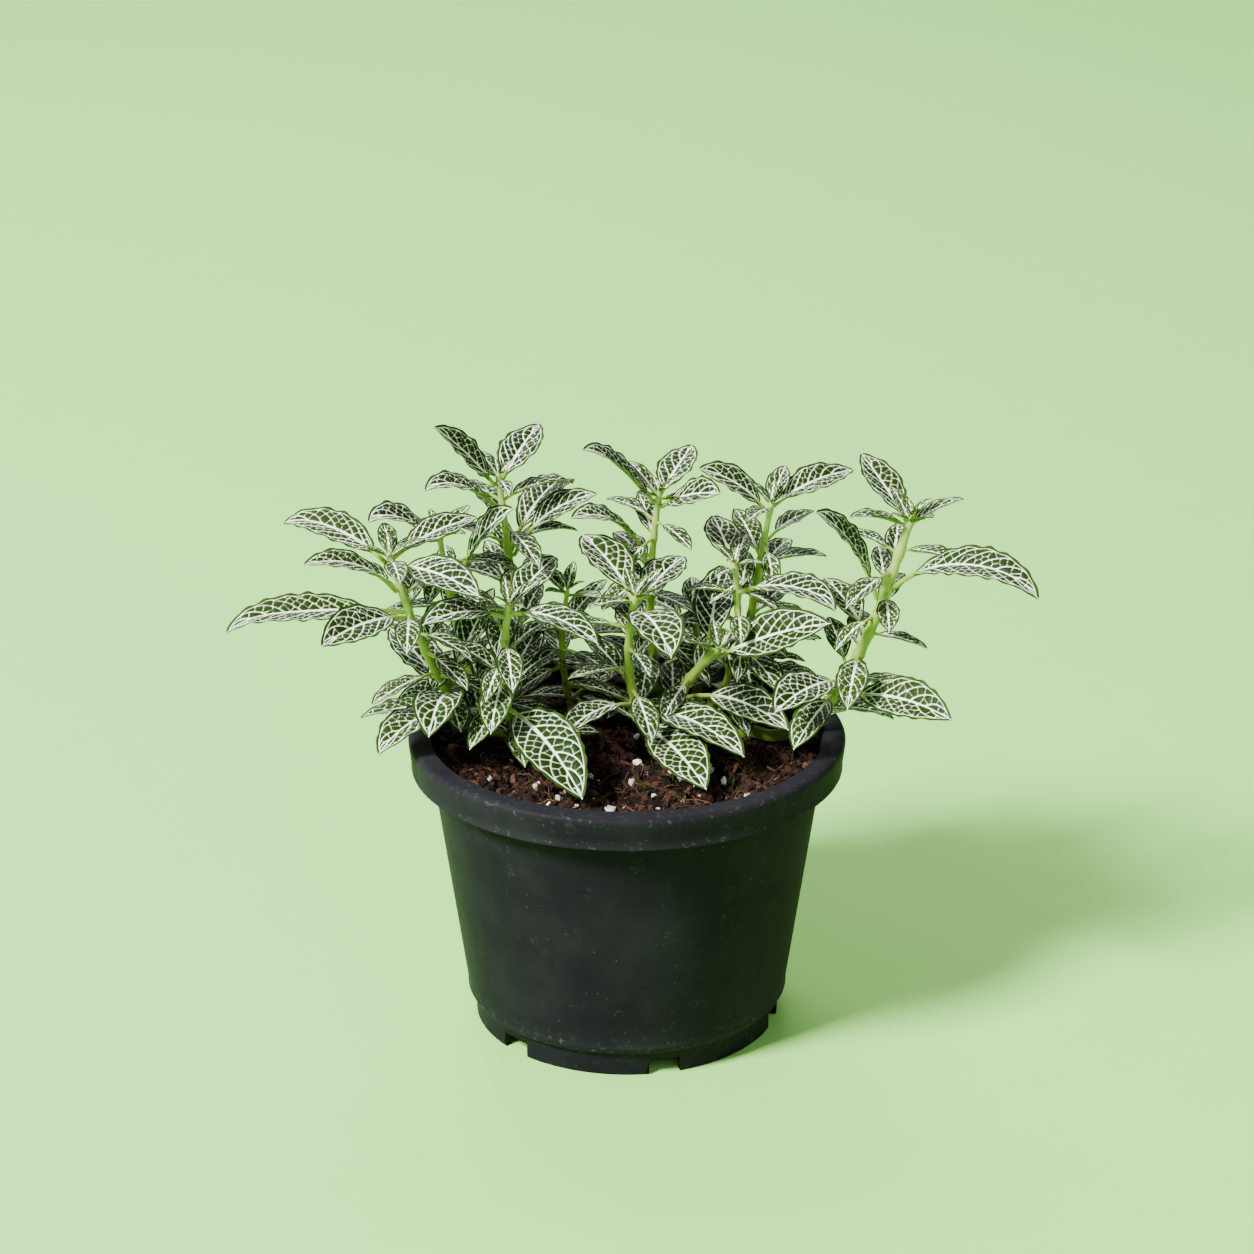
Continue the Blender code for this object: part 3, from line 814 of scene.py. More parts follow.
class VeinNet:
    """The net of veins on one blade: midrib, side veins that sweep forward, cross veins, edge vein."""

    FULL = 7.5        # half width, in mm, of a blade whose veins are full size
    SPACING = 0.70    # between side veins, as a share of the half width
    LEAST = 0.6       # added to that spacing, in mm
    BEHIND = 1.4      # how far behind the blade's foot the first vein starts, as a share of the sweep
    CELL = 2.45       # a cell's length beside the midrib, in mm, on a full-size blade
    LOSS = 0.55       # how much shorter it is at the margin
    SPLIT = 1.30      # a gap this many cells wide is split into two rows
    UNEVEN = 0.16     # how far a side vein strays, as a share of the spacing

    def __init__(self, length: float, half_width: float, rng: np.random.Generator) -> None:
        """Lay out the net.

        Args:
            length: the blade's length in mm.
            half_width: its greatest half width in mm.
            rng: source of its irregularity.
        """
        self.length = length
        self.half_width = half_width
        self.size = float(np.clip((half_width / self.FULL) ** 0.6, 0.35, 1.15))
        self.sweep = half_width * rng.uniform(0.92, 1.12)
        self.margin = 0.92 * self.size
        self.sides = [self.lay_side(rng) for _ in range(2)]

    def reach(self, along: Array) -> Array:
        """Return the half width that the net fills at a distance along the blade."""
        return np.maximum(self.half_width * fine_outline(along / self.length) - self.margin, 0.03)

    @staticmethod
    def lean(share: Array) -> Array:
        """Return how far forward a side vein has swept at a share of the way to the margin."""
        share = np.minimum(share, 1.0)
        return 0.75 * share + 0.5 * share ** 2

    @staticmethod
    def lean_slope(share: Array) -> Array:
        """Return the slope of `lean`."""
        return 0.75 + np.minimum(share, 1.0)

    def lay_side(self, rng: np.random.Generator) -> tuple[Array, list[Array]]:
        """Return where one side's veins start on the midrib, and the cell middles between them.

        Args:
            rng: source of their irregularity.

        Returns:
            The starts, and the middles of the cells in each gap.
        """
        spacing = self.SPACING * self.half_width + self.LEAST
        count = math.ceil((self.length + self.BEHIND * self.sweep) / spacing) + 2
        places = np.arange(count) + rng.uniform(-self.UNEVEN, self.UNEVEN, count)
        starts = -self.BEHIND * self.sweep - spacing + spacing * places
        starts += rng.uniform(0, spacing)
        middles = []
        share = np.linspace(0.0, 1.0, 90)
        for low, high in zip(starts, starts[1:]):
            found: list[Array] = []
            for part in (0.27, 0.5, 0.76):
                along = low + (high - low) * part + self.sweep * self.lean(share)
                out = share * self.reach(along)
                slope = self.sweep * self.lean_slope(share) / self.reach(along)
                width = (high - low) / np.sqrt(1 + slope ** 2)
                steps = np.hypot(np.diff(along), np.diff(out))
                walked = np.concatenate([[0.0], np.cumsum(steps)])
                cell = (self.CELL - self.LOSS * share) * self.size
                wide = width > self.SPLIT * cell
                at = rng.uniform(0.2, 0.8) * cell[0]
                while at < walked[-1]:
                    index = int(np.searchsorted(walked, at))
                    inside = 0.0 < along[index] < self.length
                    if inside and wide[index] == (part != 0.5):
                        found.append(np.array([along[index], out[index]]))
                    at += cell[index] * rng.uniform(0.82, 1.22)
            middles.append(np.array(found).reshape(-1, 2))
        return starts, middles

    def gaps(self, along: Array, out: Array) -> Array:
        """Return the distance in mm from each spot to the nearest vein's edge, negative on a vein.

        Args:
            along: distance along the blade, for each spot.
            out: signed distance from the midrib, for each spot.
        """
        fill = self.reach(along)
        slope = (self.reach(along + 0.05) - self.reach(along - 0.05)) / 0.1
        share = np.abs(out) / fill
        left = np.clip(1 - along / self.length, 0, 1)
        fine = self.size * np.clip(fill / (2.2 * self.size), 0.15, 1.0)
        parts = [np.abs(out) - self.size * 0.50 * left ** 0.8 - 0.03 * fine]
        parts.append(np.abs(share - 1) * fill - 0.085 * fine)
        line = np.full(along.shape, 9.0)
        cross = np.full(along.shape, 9.0)
        for sign, (starts, middles) in zip((1, -1), self.sides):
            mine = (out * sign >= 0) & (share < 1.0)
            a, o, e, f, g = along[mine], np.abs(out[mine]), share[mine], fill[mine], slope[mine]
            weight = fine[mine]
            origin = a - self.sweep * self.lean(e)
            index = np.clip(np.searchsorted(starts, origin) - 1, 0, len(starts) - 2)
            off = np.minimum(origin - starts[index], starts[index + 1] - origin)
            push = self.sweep * self.lean_slope(e)
            grade = np.hypot(1 + push * e * g / f, push / f)
            line[mine] = off / grade - weight * (0.176 - 0.080 * e)
            found = np.full(a.shape, 9.0)
            for band in np.unique(index):
                seeds = middles[band]
                if len(seeds) < 2:
                    continue
                here = index == band
                apart = np.hypot(a[here][:, None] - seeds[:, 0], o[here][:, None] - seeds[:, 1])
                order = np.argsort(apart, axis=1)[:, :2]
                near = np.take_along_axis(apart, order, 1)
                between = np.linalg.norm(seeds[order[:, 0]] - seeds[order[:, 1]], axis=1)
                found[here] = (near[:, 1] ** 2 - near[:, 0] ** 2) / (2 * between) - 0.086 * weight[here]
            cross[mine] = found
        parts += [line, cross]
        soft = 0.075 * self.size
        total = sum(np.exp(-np.minimum(part, 8.0) / soft) for part in parts)
        return -soft * np.log(np.maximum(total, 1e-30))


@dataclass
class Leaf:
    """One leaf: a blade with its vein net, a raised midrib below and a petiole."""

    spine: Spine
    root: Array
    rng: np.random.Generator
    young: float = 0.0
    tone: float = 0.5
    grain: float = 0.25
    thickness: float = 0.36

    SLIM = 0.88       # a fine blade's width as a share of the CAD blade's

    def shape(self) -> Shape:
        """Return the whole leaf, blade in material 0 and petiole in material 1."""
        return Shape.merged([self.blade(), self.stalk()], [0.9, 0.1])

    def blade(self) -> Shape:
        """Return the blade as a closed shape."""
        curve = Curve(self.spine.points)
        begin = curve.stops[self.spine.start]
        length = curve.length - begin
        width = self.spine.half_width * self.SLIM
        rows = max(12, round(length / self.grain))
        columns = max(9, round(2 * width / self.grain)) | 1
        share = np.linspace(0.0, 1.0, rows)
        share = 0.6 * share + 0.4 * (1 - np.cos(np.pi * share)) / 2
        along = share * length
        centre = curve.at(begin + along)
        ahead = unit(np.gradient(centre, axis=0))
        across = curve.carry(self.spine.across, begin + along)
        across = unit(across - ahead * np.sum(across * ahead, axis=1, keepdims=True))
        normal = np.cross(across, ahead)

        edge = np.sin(np.linspace(-1, 1, columns) * np.pi / 2 * 0.9) / math.sin(np.pi / 2 * 0.9)
        turns = self.rng.uniform(0, math.tau, 6)
        waves = max(2.0, length / 3.6)
        sway = np.where(
            edge[None] > 0,
            np.sin(share * waves * math.tau + turns[0])[:, None],
            np.sin(share * waves * math.tau + turns[1])[:, None],
        )
        outline = np.maximum(width * fine_outline(share), 0.12)[:, None]
        out = edge[None] * outline * (1 + 0.034 * sway * np.abs(edge[None]) ** 3)
        spots = np.broadcast_to(along[:, None], out.shape)
        net = VeinNet(length, width, self.rng)
        gap = net.gaps(spots, out)

        size = net.size
        tilt = np.abs(edge[None])
        fold = outline * (0.46 * tilt - 0.21 * tilt ** 2)
        twist = np.sin(share * math.tau * 0.8 + turns[2])[:, None] * 0.05 * out
        flutter = 0.055 * outline * tilt ** 2.5 * np.where(
            edge[None] > 0,
            np.sin(share * waves * 0.7 * math.tau + turns[3])[:, None],
            np.sin(share * waves * 0.7 * math.tau + turns[4])[:, None],
        )
        quilt = size * 0.30 * (1 - np.exp(-np.maximum(gap, 0) / (0.55 * size)))
        lift = fold + twist + flutter + quilt
        flat = centre[:, None] + across[:, None] * out[..., None]
        upper = flat + normal[:, None] * lift[..., None]
        thin = self.thickness * size * (1 - 0.65 * tilt ** 4)
        lower = flat + normal[:, None] * (lift - 0.35 * quilt - thin)[..., None]

        points = np.concatenate([upper[:, ::-1], lower], axis=1)
        faces, sheet = ring_faces(rows, 2 * columns)
        shape = Shape(points.reshape(-1, 3), faces, {}, sheet).in_slot(0)
        rim = outline - np.abs(out)
        base = np.broadcast_to(np.exp(-along / (0.10 * length))[:, None], out.shape)
        faces_apart = {
            "gap": (gap / size, gap / size), "rim": (rim / size, rim / size), "base": (base, base),
            "under": (np.zeros_like(out), np.ones_like(out)),
        }
        for name, (top, low) in faces_apart.items():
            shape.with_value(name, np.concatenate([top[:, ::-1], low], axis=1).ravel())
        shape.with_value("tone", self.tone)
        return shape.with_value("young", self.young)

    def stalk(self) -> Shape:
        """Return the petiole, which runs on as a tapering rib under the blade."""
        curve = Curve(self.spine.points)
        begin = curve.stops[self.spine.start]
        length = curve.length - begin
        walked = np.concatenate([np.linspace(0, begin, 8)[:-1], begin + length * np.linspace(0, 0.62, 12)])
        centres = curve.at(walked)
        across = unit(curve.carry(self.spine.across, walked))
        ahead = unit(np.gradient(centres, axis=0))
        normal = np.cross(across, ahead)
        size = float(np.clip((self.spine.half_width / VeinNet.FULL) ** 0.5, 0.4, 1.1))
        under = np.clip((walked - begin) / (0.12 * length), 0, 1)
        centres = centres - normal * (under * 0.42 * size)[:, None]
        stops = [0, begin, begin + 0.2 * length, begin + 0.62 * length]
        radii = np.interp(walked, stops, [0.72, 0.62, 0.42, 0.12])
        radii = radii * size
        centres = np.concatenate([self.root[None], centres])
        radii = np.concatenate([[0.85 * size], radii])
        shape = tube(centres, radii, 8).in_slot(1)
        return shape.with_value("along", np.linspace(0.35, 0.75, len(centres)).repeat(8))


# ---------------------------------------------------------------- stems


@dataclass
class Stem:
    """A fleshy stem on the line of a CAD stem, with a swelling where each pair of leaves joins."""

    name: str
    joints: list[float] = field(default_factory=list)

    SIDES = 8         # points in each ring of a CAD stem

    def __post_init__(self) -> None:
        """Read the CAD stem's line and girth back."""
        skin = CadSkin(f"stem_{self.name}")
        lowest = skin.points[:, 2].min()
        rings = skin.layers(set(np.nonzero(skin.points[:, 2] < lowest + 0.05)[0].tolist()))
        top = int(np.argmax(skin.points[:, 2]))
        whole = [ring for ring in rings if len(ring) == self.SIDES and top not in ring]
        last = sorted(skin.near[top])
        if whole[-1] != last:
            whole.append(last)
        spots = [skin.points[ring] for ring in whole]
        centres = np.array([ring.mean(0) for ring in spots])
        radii = [np.linalg.norm(ring - centre, axis=1).mean() for ring, centre in zip(spots, centres)]
        self.radii = np.array(radii)[:, None]
        self.curve = Curve(centres)

    def radius(self, walked: Array) -> Array:
        """Return the stem's radius at distances along it, with its swollen joints."""
        plain = self.curve.carry(self.radii, walked)[:, 0]
        swell = sum(np.exp(-((walked - joint) / 1.3) ** 2) for joint in self.joints) if self.joints else 0.0
        return plain * (1.0 + 0.26 * np.minimum(swell, 1.3))

    def join(self, base: Array) -> Array:
        """Note a leaf that starts near a point, and return its place on the stem's axis."""
        walked = self.curve.nearest(base)
        if all(abs(walked - joint) > 1.5 for joint in self.joints):
            self.joints.append(walked)
        return self.curve.at(np.array([walked]))[0]

    def tip(self) -> tuple[Array, Array]:
        """Return the stem's end and the direction that it points."""
        last = self.curve.at(np.array([self.curve.length - 1.0, self.curve.length]))
        return last[1], unit(last[1] - last[0])

    def shape(self) -> Shape:
        """Return the stem as a closed tube with a rounded tip."""
        walked = np.arange(0.0, self.curve.length, 0.7)
        walked = np.append(walked, self.curve.length)
        centres = self.curve.at(walked)
        radii = self.radius(walked)
        end, ahead = self.tip()
        for step in (0.35, 0.7, 0.95):
            centres = np.vstack([centres, end + ahead * radii[len(walked) - 1] * step])
            radii = np.append(radii, radii[len(walked) - 1] * math.sqrt(1 - step ** 2))
        shape = tube(centres, radii, 14)
        above = np.clip((centres[:, 2] - Mix.LEVEL) / 85.0, 0, 1)
        own = np.linspace(0, 1, len(centres))
        return shape.with_value("along", np.repeat(0.35 * above + 0.65 * own ** 1.2, 14))


@dataclass(frozen=True)
class Tuft:
    """The young leaves at a shoot's end: how many pairs, how long the outer ones are, which way they face."""

    stem: str
    pairs: int
    blade: float
    turn: float
    spread: float = 38.0

    SHRINK = 0.66     # a pair's blades, as a share of those of the pair outside it
    RISE = 0.28       # how much nearer to upright each further pair stands
    STRAY = 14        # how far a leaf strays from its direction, in degrees
    FACING = 19       # how far a leaf in front leans down to face forward, in degrees
    UNEVEN = 8        # how far a leaf strays from its rise, in degrees
    WIDTH = 0.52      # a blade's width, as a share of its length

    def sprigs(self, rng: np.random.Generator) -> Iterable[tuple[Sprig, float]]:
        """Give each young leaf with how far below the stem's end it sits, in mm.

        Args:
            rng: source of their irregularity.

        Yields:
            A leaf, and its distance below the end.
        """
        for pair in range(self.pairs):
            size = self.blade * self.SHRINK ** pair
            rise = 90 - self.spread * (1.0 - self.RISE * pair)
            for half in (0, 180):
                azimuth = self.turn + 90 * pair + half + rng.uniform(-self.STRAY, self.STRAY)
                facing = self.FACING * (1 - math.sin(math.radians(azimuth)))
                blade = size * rng.uniform(0.88, 1.12)
                stands = rise - facing + rng.uniform(-self.UNEVEN, self.UNEVEN)
                leaf = Sprig(
                    self.stem, 0.0, azimuth, stands, blade, blade * self.WIDTH,
                    petiole=0.12 * size, droop=rng.uniform(15, 40), young=0.15 + 0.2 * pair,
                )
                yield leaf, 1.2 - 0.9 * pair


class Room:
    """The space that leaves already fill, so that later ones grow only where there is room."""

    RIM = 46.0        # from this far out, in mm, a leaf has to pass over the pot's rim
    SHARE = 0.42      # how close two blades may lie, as a share of their two widths together

    def __init__(self) -> None:
        """Start with nothing filled."""
        self.spots = np.empty((0, 3))
        self.widths = np.empty(0)

    def middles(self, spine: Spine) -> Array:
        """Return points along the outer two thirds of a blade's middle line."""
        curve = Curve(spine.points)
        begin = curve.stops[spine.start]
        return curve.at(np.linspace(begin + (curve.length - begin) / 3, curve.length, 7))

    def fill(self, spine: Spine) -> None:
        """Note a leaf as grown."""
        spots = self.middles(spine)
        self.spots = np.concatenate([self.spots, spots])
        self.widths = np.append(self.widths, np.full(len(spots), spine.half_width))

    def fits(self, spine: Spine) -> bool:
        """Return whether a leaf clears the mix, the pot's rim and every leaf grown so far."""
        spots = self.middles(spine)
        floor = np.where(np.hypot(spots[:, 0], spots[:, 1]) > self.RIM, Mix.LEVEL + 8.5, Mix.LEVEL + 2.0)
        if np.any(spots[:, 2] < floor):
            return False
        apart = np.linalg.norm(spots[:, None] - self.spots, axis=2)
        return bool(np.all(apart > self.SHARE * (spine.half_width + self.widths)))


@dataclass(frozen=True)
class Undergrowth:
    """The smaller leaves down a stem: opposite pairs, each pair a quarter turn on from the last."""

    lowest: float = 5.0       # first pair's height above the mix, in mm
    spacing: float = 5.5      # between pairs
    clear: float = 7.0        # bare stretch below the stem's tip
    longest: float = 20.0     # blade of the lowest pairs
    shortest: float = 12.0    # blade of the highest pairs
    tries: int = 9            # directions tried for each leaf
    rise: float = 20.0        # of a leaf at the stem's side, in degrees
    facing: float = 24.0      # how much more a leaf behind rises and one in front hangs, in degrees
    stray: float = 45.0       # how far a leaf strays from its direction, in degrees
    uneven: float = 8.0       # how far it strays from its rise, in degrees

    def sprigs(self, stem: str, height: float, rng: np.random.Generator) -> Iterable[list[Sprig]]:
        """Give, for each leaf, the ways that it might grow; blades turn their faces to the light in front.

        Args:
            stem: name of the stem.
            height: how far the stem rises above the mix.
            rng: source of their irregularity.

        Yields:
            The ways, the first to be tried first.
        """
        turn = rng.uniform(0, 180)
        for up in np.arange(self.lowest, height - self.clear, self.spacing):
            turn += 90
            share = up / height
            for half in (0, 180):
                ways = []
                for _ in range(self.tries):
                    azimuth = turn + half + rng.uniform(-self.stray, self.stray)
                    blade = (self.longest + (self.shortest - self.longest) * share) * rng.uniform(0.75, 1.15)
                    rise = self.rise + self.facing * math.sin(math.radians(azimuth))
                    rise += rng.uniform(-self.uneven, self.uneven)
                    ways.append(Sprig(
                        stem, up + rng.uniform(-1, 1), azimuth, rise, blade, blade * rng.uniform(0.46, 0.56),
                        petiole=rng.uniform(2, 5), droop=rng.uniform(20, 50), young=rng.uniform(0.05, 0.3),
                    ))
                yield ways


class Plant:
    """Every stem and leaf."""

    SPRIGS = (
        Sprig("front_left", 13, 100, 40, 9, 5, 1, 20),
        Sprig("tall_left", 20, 110, 20, 22, 11, 4, 30),
        Sprig("tall_left", 22, 330, 35, 18, 9, 3, 30),
        Sprig("back", 22, 120, 20, 24, 12, 4, 40),
        Sprig("back", 20, 20, 25, 20, 10, 4, 40),
        Sprig("back_right", 28, 70, 20, 24, 12, 4, 40),
        Sprig("back_left", 20, 140, 20, 24, 12, 4, 40),
        Sprig("rear", 12, 100, 15, 24, 13, 4, 40),
        Sprig("rear", 23, 255, 45, 15, 9, 2, 30),
        Sprig("mid_left", 16, 100, 25, 20, 10, 4, 30),
        Sprig("mid_left", 15, 300, 30, 16, 8, 3, 40),
        Sprig("centre_right", 9, 60, 20, 20, 11, 4, 30),
        Sprig("mid_right", 19, 10, 30, 20, 10, 4, 40),
    )
    TUFTS = (
        Tuft("left", 3, 12, 100), Tuft("front_left", 3, 10, 20), Tuft("tall_left", 3, 9, 120),
        Tuft("back_left", 3, 12, 40), Tuft("mid_left", 3, 12, 150), Tuft("centre", 3, 11, 30),
        Tuft("centre_right", 3, 11, 10), Tuft("mid_right", 3, 10, 60), Tuft("back", 3, 11, 130),
        Tuft("back_right", 3, 12, 75), Tuft("right", 4, 14, 20), Tuft("rear", 3, 12, 80),
    )

    def __init__(self) -> None:
        """Read the stems back, and make the skins."""
        self.nodes = sorted(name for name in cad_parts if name.startswith("leaf_"))
        stems = sorted(name[5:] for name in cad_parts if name.startswith("stem_"))
        self.stems = {name: Stem(name) for name in stems}
        self.leaf_skin = LeafSkin().build()
        self.stem_skin = StemSkin().build()
        self.room = Room()

    def build(self) -> None:
        """Make every leaf, young leaf, shoot tip and stem."""
        for index, node in enumerate(self.nodes):
            self.build_leaf(node, np.random.default_rng(SEED + index))
        self.build_young(np.random.default_rng(SEED + 500))
        for name, stem in self.stems.items():
            piece = stem.shape().to_object(f"fleshy_stem_{name}", [self.stem_skin])
            place(piece, Finish.STEM, f"stem_{name}")

    def build_leaf(self, node: str, rng: np.random.Generator) -> None:
        """Make the fine form of one CAD leaf."""
        spine = Spine.from_cad(node)
        self.room.fill(spine)
        root = self.stems[node[5:].rsplit("_", 1)[0]].join(spine.points[0])
        leaf = Leaf(spine, root, rng, young=rng.uniform(0.0, 0.12), tone=rng.uniform(0.2, 0.8))
        piece = leaf.shape().to_object(f"veined_{node}", [self.leaf_skin, self.stem_skin])
        place(piece, Finish.LEAF, node)

    def build_young(self, rng: np.random.Generator) -> None:
        """Make the small leaves of each stem and those at its tip, as one piece for each stem.

        Args:
            rng: source of their irregularity.
        """
        parts: dict[str, list[Shape]] = {name: [] for name in self.stems}
        for sprig in self.SPRIGS:
            parts[sprig.stem].append(self.grow([sprig], rng, forced=True))
        for tuft in self.TUFTS:
            end, ahead = self.stems[tuft.stem].tip()
            for sprig, below in tuft.sprigs(rng):
                base = end - ahead * below
                spine = Spine.grown(base, sprig)
                self.room.fill(spine)
                leaf = Leaf(spine, base, rng, sprig.young, rng.uniform(0.3, 0.9), 0.24, 0.3)
                parts[tuft.stem].append(leaf.shape())
        for name, stem in self.stems.items():
            height = stem.curve.points[:, 2].max() - Mix.LEVEL
            for ways in Undergrowth().sprigs(name, height, rng):
                grown = self.grow(ways, rng)
                if grown is not None:
                    parts[name].append(grown)
        for name, shapes in parts.items():
            piece = Shape.merged(shapes).to_object(f"young_leaves_{name}", [self.leaf_skin, self.stem_skin])
            place(piece, Finish.LEAF)

    def grow(self, ways: list[Sprig], rng: np.random.Generator, forced: bool = False) -> Shape | None:
        """Return a young leaf grown in the first way that there is room for, or None.

        Args:
            ways: the ways that it might grow.
            rng: source of its irregularity.
            forced: grow it in its first way, whatever is there.
        """
        for sprig in ways:
            stem = self.stems[sprig.stem]
            base = stem.curve.at(np.array([stem.curve.first_above(Mix.LEVEL + sprig.up)]))[0]
            spine = Spine.grown(base, sprig)
            if forced or self.room.fits(spine):
                self.room.fill(spine)
                stem.join(base)
                return Leaf(spine, base, rng, sprig.young, rng.uniform(0.1, 0.7), 0.3).shape()
        return None


def place(piece: bpy.types.Object, finish: Finish, *nodes: str) -> None:
    """Fix a piece to the plant's one body.

    Args:
        piece: the object.
        finish: not used.
        nodes: the CAD nodes that it stands for.
    """
    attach(piece, "root")
    for node in nodes:
        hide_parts(node)
    LOG.info("%s: %d faces", piece.name, len(piece.data.polygons))


# ---------------------------------------------------------------- potting mix


class Mix:
    """The potting mix: a rough bed, crumbs, bark chips, fibres, perlite and a little moss."""

    LEVEL = 71.5      # height of the mix, in mm

    def __init__(self, radius: float) -> None:
        """Set the bed's radius in mm."""
        self.radius = radius
        self.rng = np.random.default_rng(SEED + 900)
        directions = self.rng.uniform(0, math.tau, 26)
        lengths = np.geomspace(30.0, 2.2, 26)
        self.waves = np.stack([np.cos(directions) / lengths, np.sin(directions) / lengths], 1) * math.tau
        self.heights = 0.055 * lengths ** 0.72
        self.phases = self.rng.uniform(0, math.tau, 26)

    def height(self, x: Array, y: Array) -> Array:
        """Return the height of the bed's surface."""
        level = np.full(np.shape(x), self.LEVEL - 0.6)
        for wave, high, phase in zip(self.waves, self.heights, self.phases):
            level = level + high * np.sin(wave[0] * x + wave[1] * y + phase)
        return level

    def build(self) -> None:
        """Make the bed and everything in it."""
        bed = EarthSkin("mix_bed", (0.0012, 0.0007, 0.0005), (0.0110, 0.0046, 0.0024), 900.0).build()
        crumb = EarthSkin("mix_crumb", (0.0022, 0.0011, 0.0006), (0.0480, 0.0195, 0.0095)).build()
        chip = EarthSkin("mix_bark", (0.0080, 0.0028, 0.0014), (0.1250, 0.0540, 0.0280)).build()
        fibre = EarthSkin("mix_fibre", (0.0120, 0.0055, 0.0030), (0.1500, 0.0750, 0.0350)).build()
        perlite = EarthSkin("mix_perlite", (0.36, 0.38, 0.31), (0.80, 0.84, 0.74), 700.0, 0.85).build()
        moss = EarthSkin("mix_moss", (0.006, 0.020, 0.002), (0.030, 0.075, 0.006)).build()
        place(self.bed().to_object("mix_bed", [bed]), Finish.MIX, "soil")
        place(self.crumbs(3300).to_object("mix_crumbs", [crumb], smooth=False), Finish.MIX)
        place(self.chips(760).to_object("bark_chips", [chip], smooth=False), Finish.MIX)
        place(self.fibres(330).to_object("coir_fibres", [fibre]), Finish.MIX)
        place(self.perlite(70).to_object("perlite_grains", [perlite], smooth=False), Finish.MIX)
        place(self.moss(60).to_object("moss_wisps", [moss]), Finish.MIX)

    def bed(self) -> Shape:
        """Return the mix as one closed solid with a rough top."""
        low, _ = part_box("soil")
        bottom = low.z / MM
        around = 260
        radii = np.concatenate([[0.2], np.linspace(0.6, self.radius, 110)])
        angles = np.arange(around) * math.tau / around
        x = radii[:, None] * np.cos(angles)
        y = radii[:, None] * np.sin(angles)
        top = np.stack([x, y, self.height(x, y)], -1)
        foot = self.radius - 8.5
        wall = np.stack([foot * np.cos(angles), foot * np.sin(angles), np.full(around, bottom)], -1)[None]
        last = wall * np.array([0.01, 0.01, 1.0])
        points = np.concatenate([top, wall, last])[::-1]
        faces, sheet = ring_faces(len(points), around)
        return Shape(points.reshape(-1, 3), faces, {}, sheet).with_value("tone", 0.3)

    def spots(self, count: int, inner: float = 0.0, outer: float = 0.985) -> Array:
        """Return random (x, y) places, evenly spread between two shares of the bed's radius."""
        radius = self.radius * np.sqrt(self.rng.uniform(inner ** 2, outer ** 2, count))
        angle = self.rng.uniform(0, math.tau, count)
        return np.stack([radius * np.cos(angle), radius * np.sin(angle)], 1)

    def scatter(
        self, spots: Array, sizes: Callable[[], Array], cuts: int, knobs: float, sink: float,
        flat: float = 0.35,
    ) -> Shape:
        """Return lumps lying on the bed.

        Args:
            spots: where they lie.
            sizes: gives the three half sizes of the next lump.
            cuts: fineness of each lump.
            knobs: roughness of each lump.
            sink: how far its middle sits below the surface, as a share of its height.
            flat: how much a lump tips over, from 0 for lying flat to 1.
        """
        parts = []
        for x, y in spots:
            size = sizes()
            shape = lump(self.rng, cuts, knobs)
            turn = self.rng.uniform(-math.pi, math.pi, 3) * np.array([flat * 0.5, flat * 0.5, 1.0])
            middle = np.array([x, y, float(self.height(x, y)) + size[2] * (1 - 2 * sink)])
            shape.points = (shape.points * size) @ turned(turn).T + middle
            parts.append(shape.with_value("tone", self.rng.uniform(0, 1) ** 2.0))
        return Shape.merged(parts)

    def crumbs(self, count: int) -> Shape:
        """Return small dark crumbs."""
        def size() -> Array:
            """Return the next crumb's half sizes."""
            return self.rng.uniform(0.35, 1.25) ** 1.4 * self.rng.uniform(0.5, 1.25, 3)

        return self.scatter(self.spots(count), size, 2, 0.34, 0.35, 1.0)

    def chips(self, count: int) -> Shape:
        """Return flat shards of bark."""
        def size() -> Array:
            """Return the next shard's half sizes."""
            long = self.rng.uniform(0.9, 3.0)
            return np.array([long, long * self.rng.uniform(0.25, 0.6), self.rng.uniform(0.18, 0.42)])

        return self.scatter(self.spots(count), size, 2, 0.28, 0.1, 0.45)

    def perlite(self, count: int) -> Shape:
        """Return crushed white grains, most of them near the front and the left.

        Args:
            count: the most grains that there may be.

        Returns:
            The grains.
        """
        spots = self.spots(count * 5, 0.1, 0.96)
        front = spots[:, 1] < self.rng.uniform(-40, 22, len(spots))
        left = spots[:, 0] < self.rng.uniform(-40, 60, len(spots))
        spots = spots[front & left][:count]

        def size() -> Array:
            """Return the next grain's half sizes."""
            return self.rng.uniform(0.45, 1.2) * self.rng.uniform(0.55, 1.15, 3)

        return self.scatter(spots, size, 2, 0.34, 0.1, 1.0)

    def fibres(self, count: int) -> Shape:
        """Return fine bent strands.

        Args:
            count: number of places tried.

        Returns:
            The strands.
        """
        parts = []
        for x, y in self.spots(count, 0.0, 0.93):
            length = self.rng.uniform(2.5, 9.0)
            heading = self.rng.uniform(0, math.tau)
            turn = self.rng.uniform(-0.25, 0.25)
            spots = [np.array([x, y])]
            for _ in range(9):
                heading += turn + self.rng.uniform(-0.25, 0.25)
                spots.append(spots[-1] + length / 9 * np.array([math.cos(heading), math.sin(heading)]))
            path = np.array(spots)
            reach = np.hypot(path[:, 0], path[:, 1])
            path *= np.minimum(1.0, (self.radius - 0.6) / reach)[:, None]
            arch = self.rng.uniform(0.1, 1.4) * np.sin(np.linspace(0.15, 3.0, 10))
            centres = np.column_stack([path, self.height(path[:, 0], path[:, 1]) + 0.25 + arch])
            radii = np.full(10, self.rng.uniform(0.07, 0.16))
            radii[[0, -1]] *= 0.3
            shape = tube(centres, radii, 6)
            parts.append(shape.with_value("tone", self.rng.uniform(0, 1)))
        return Shape.merged(parts)

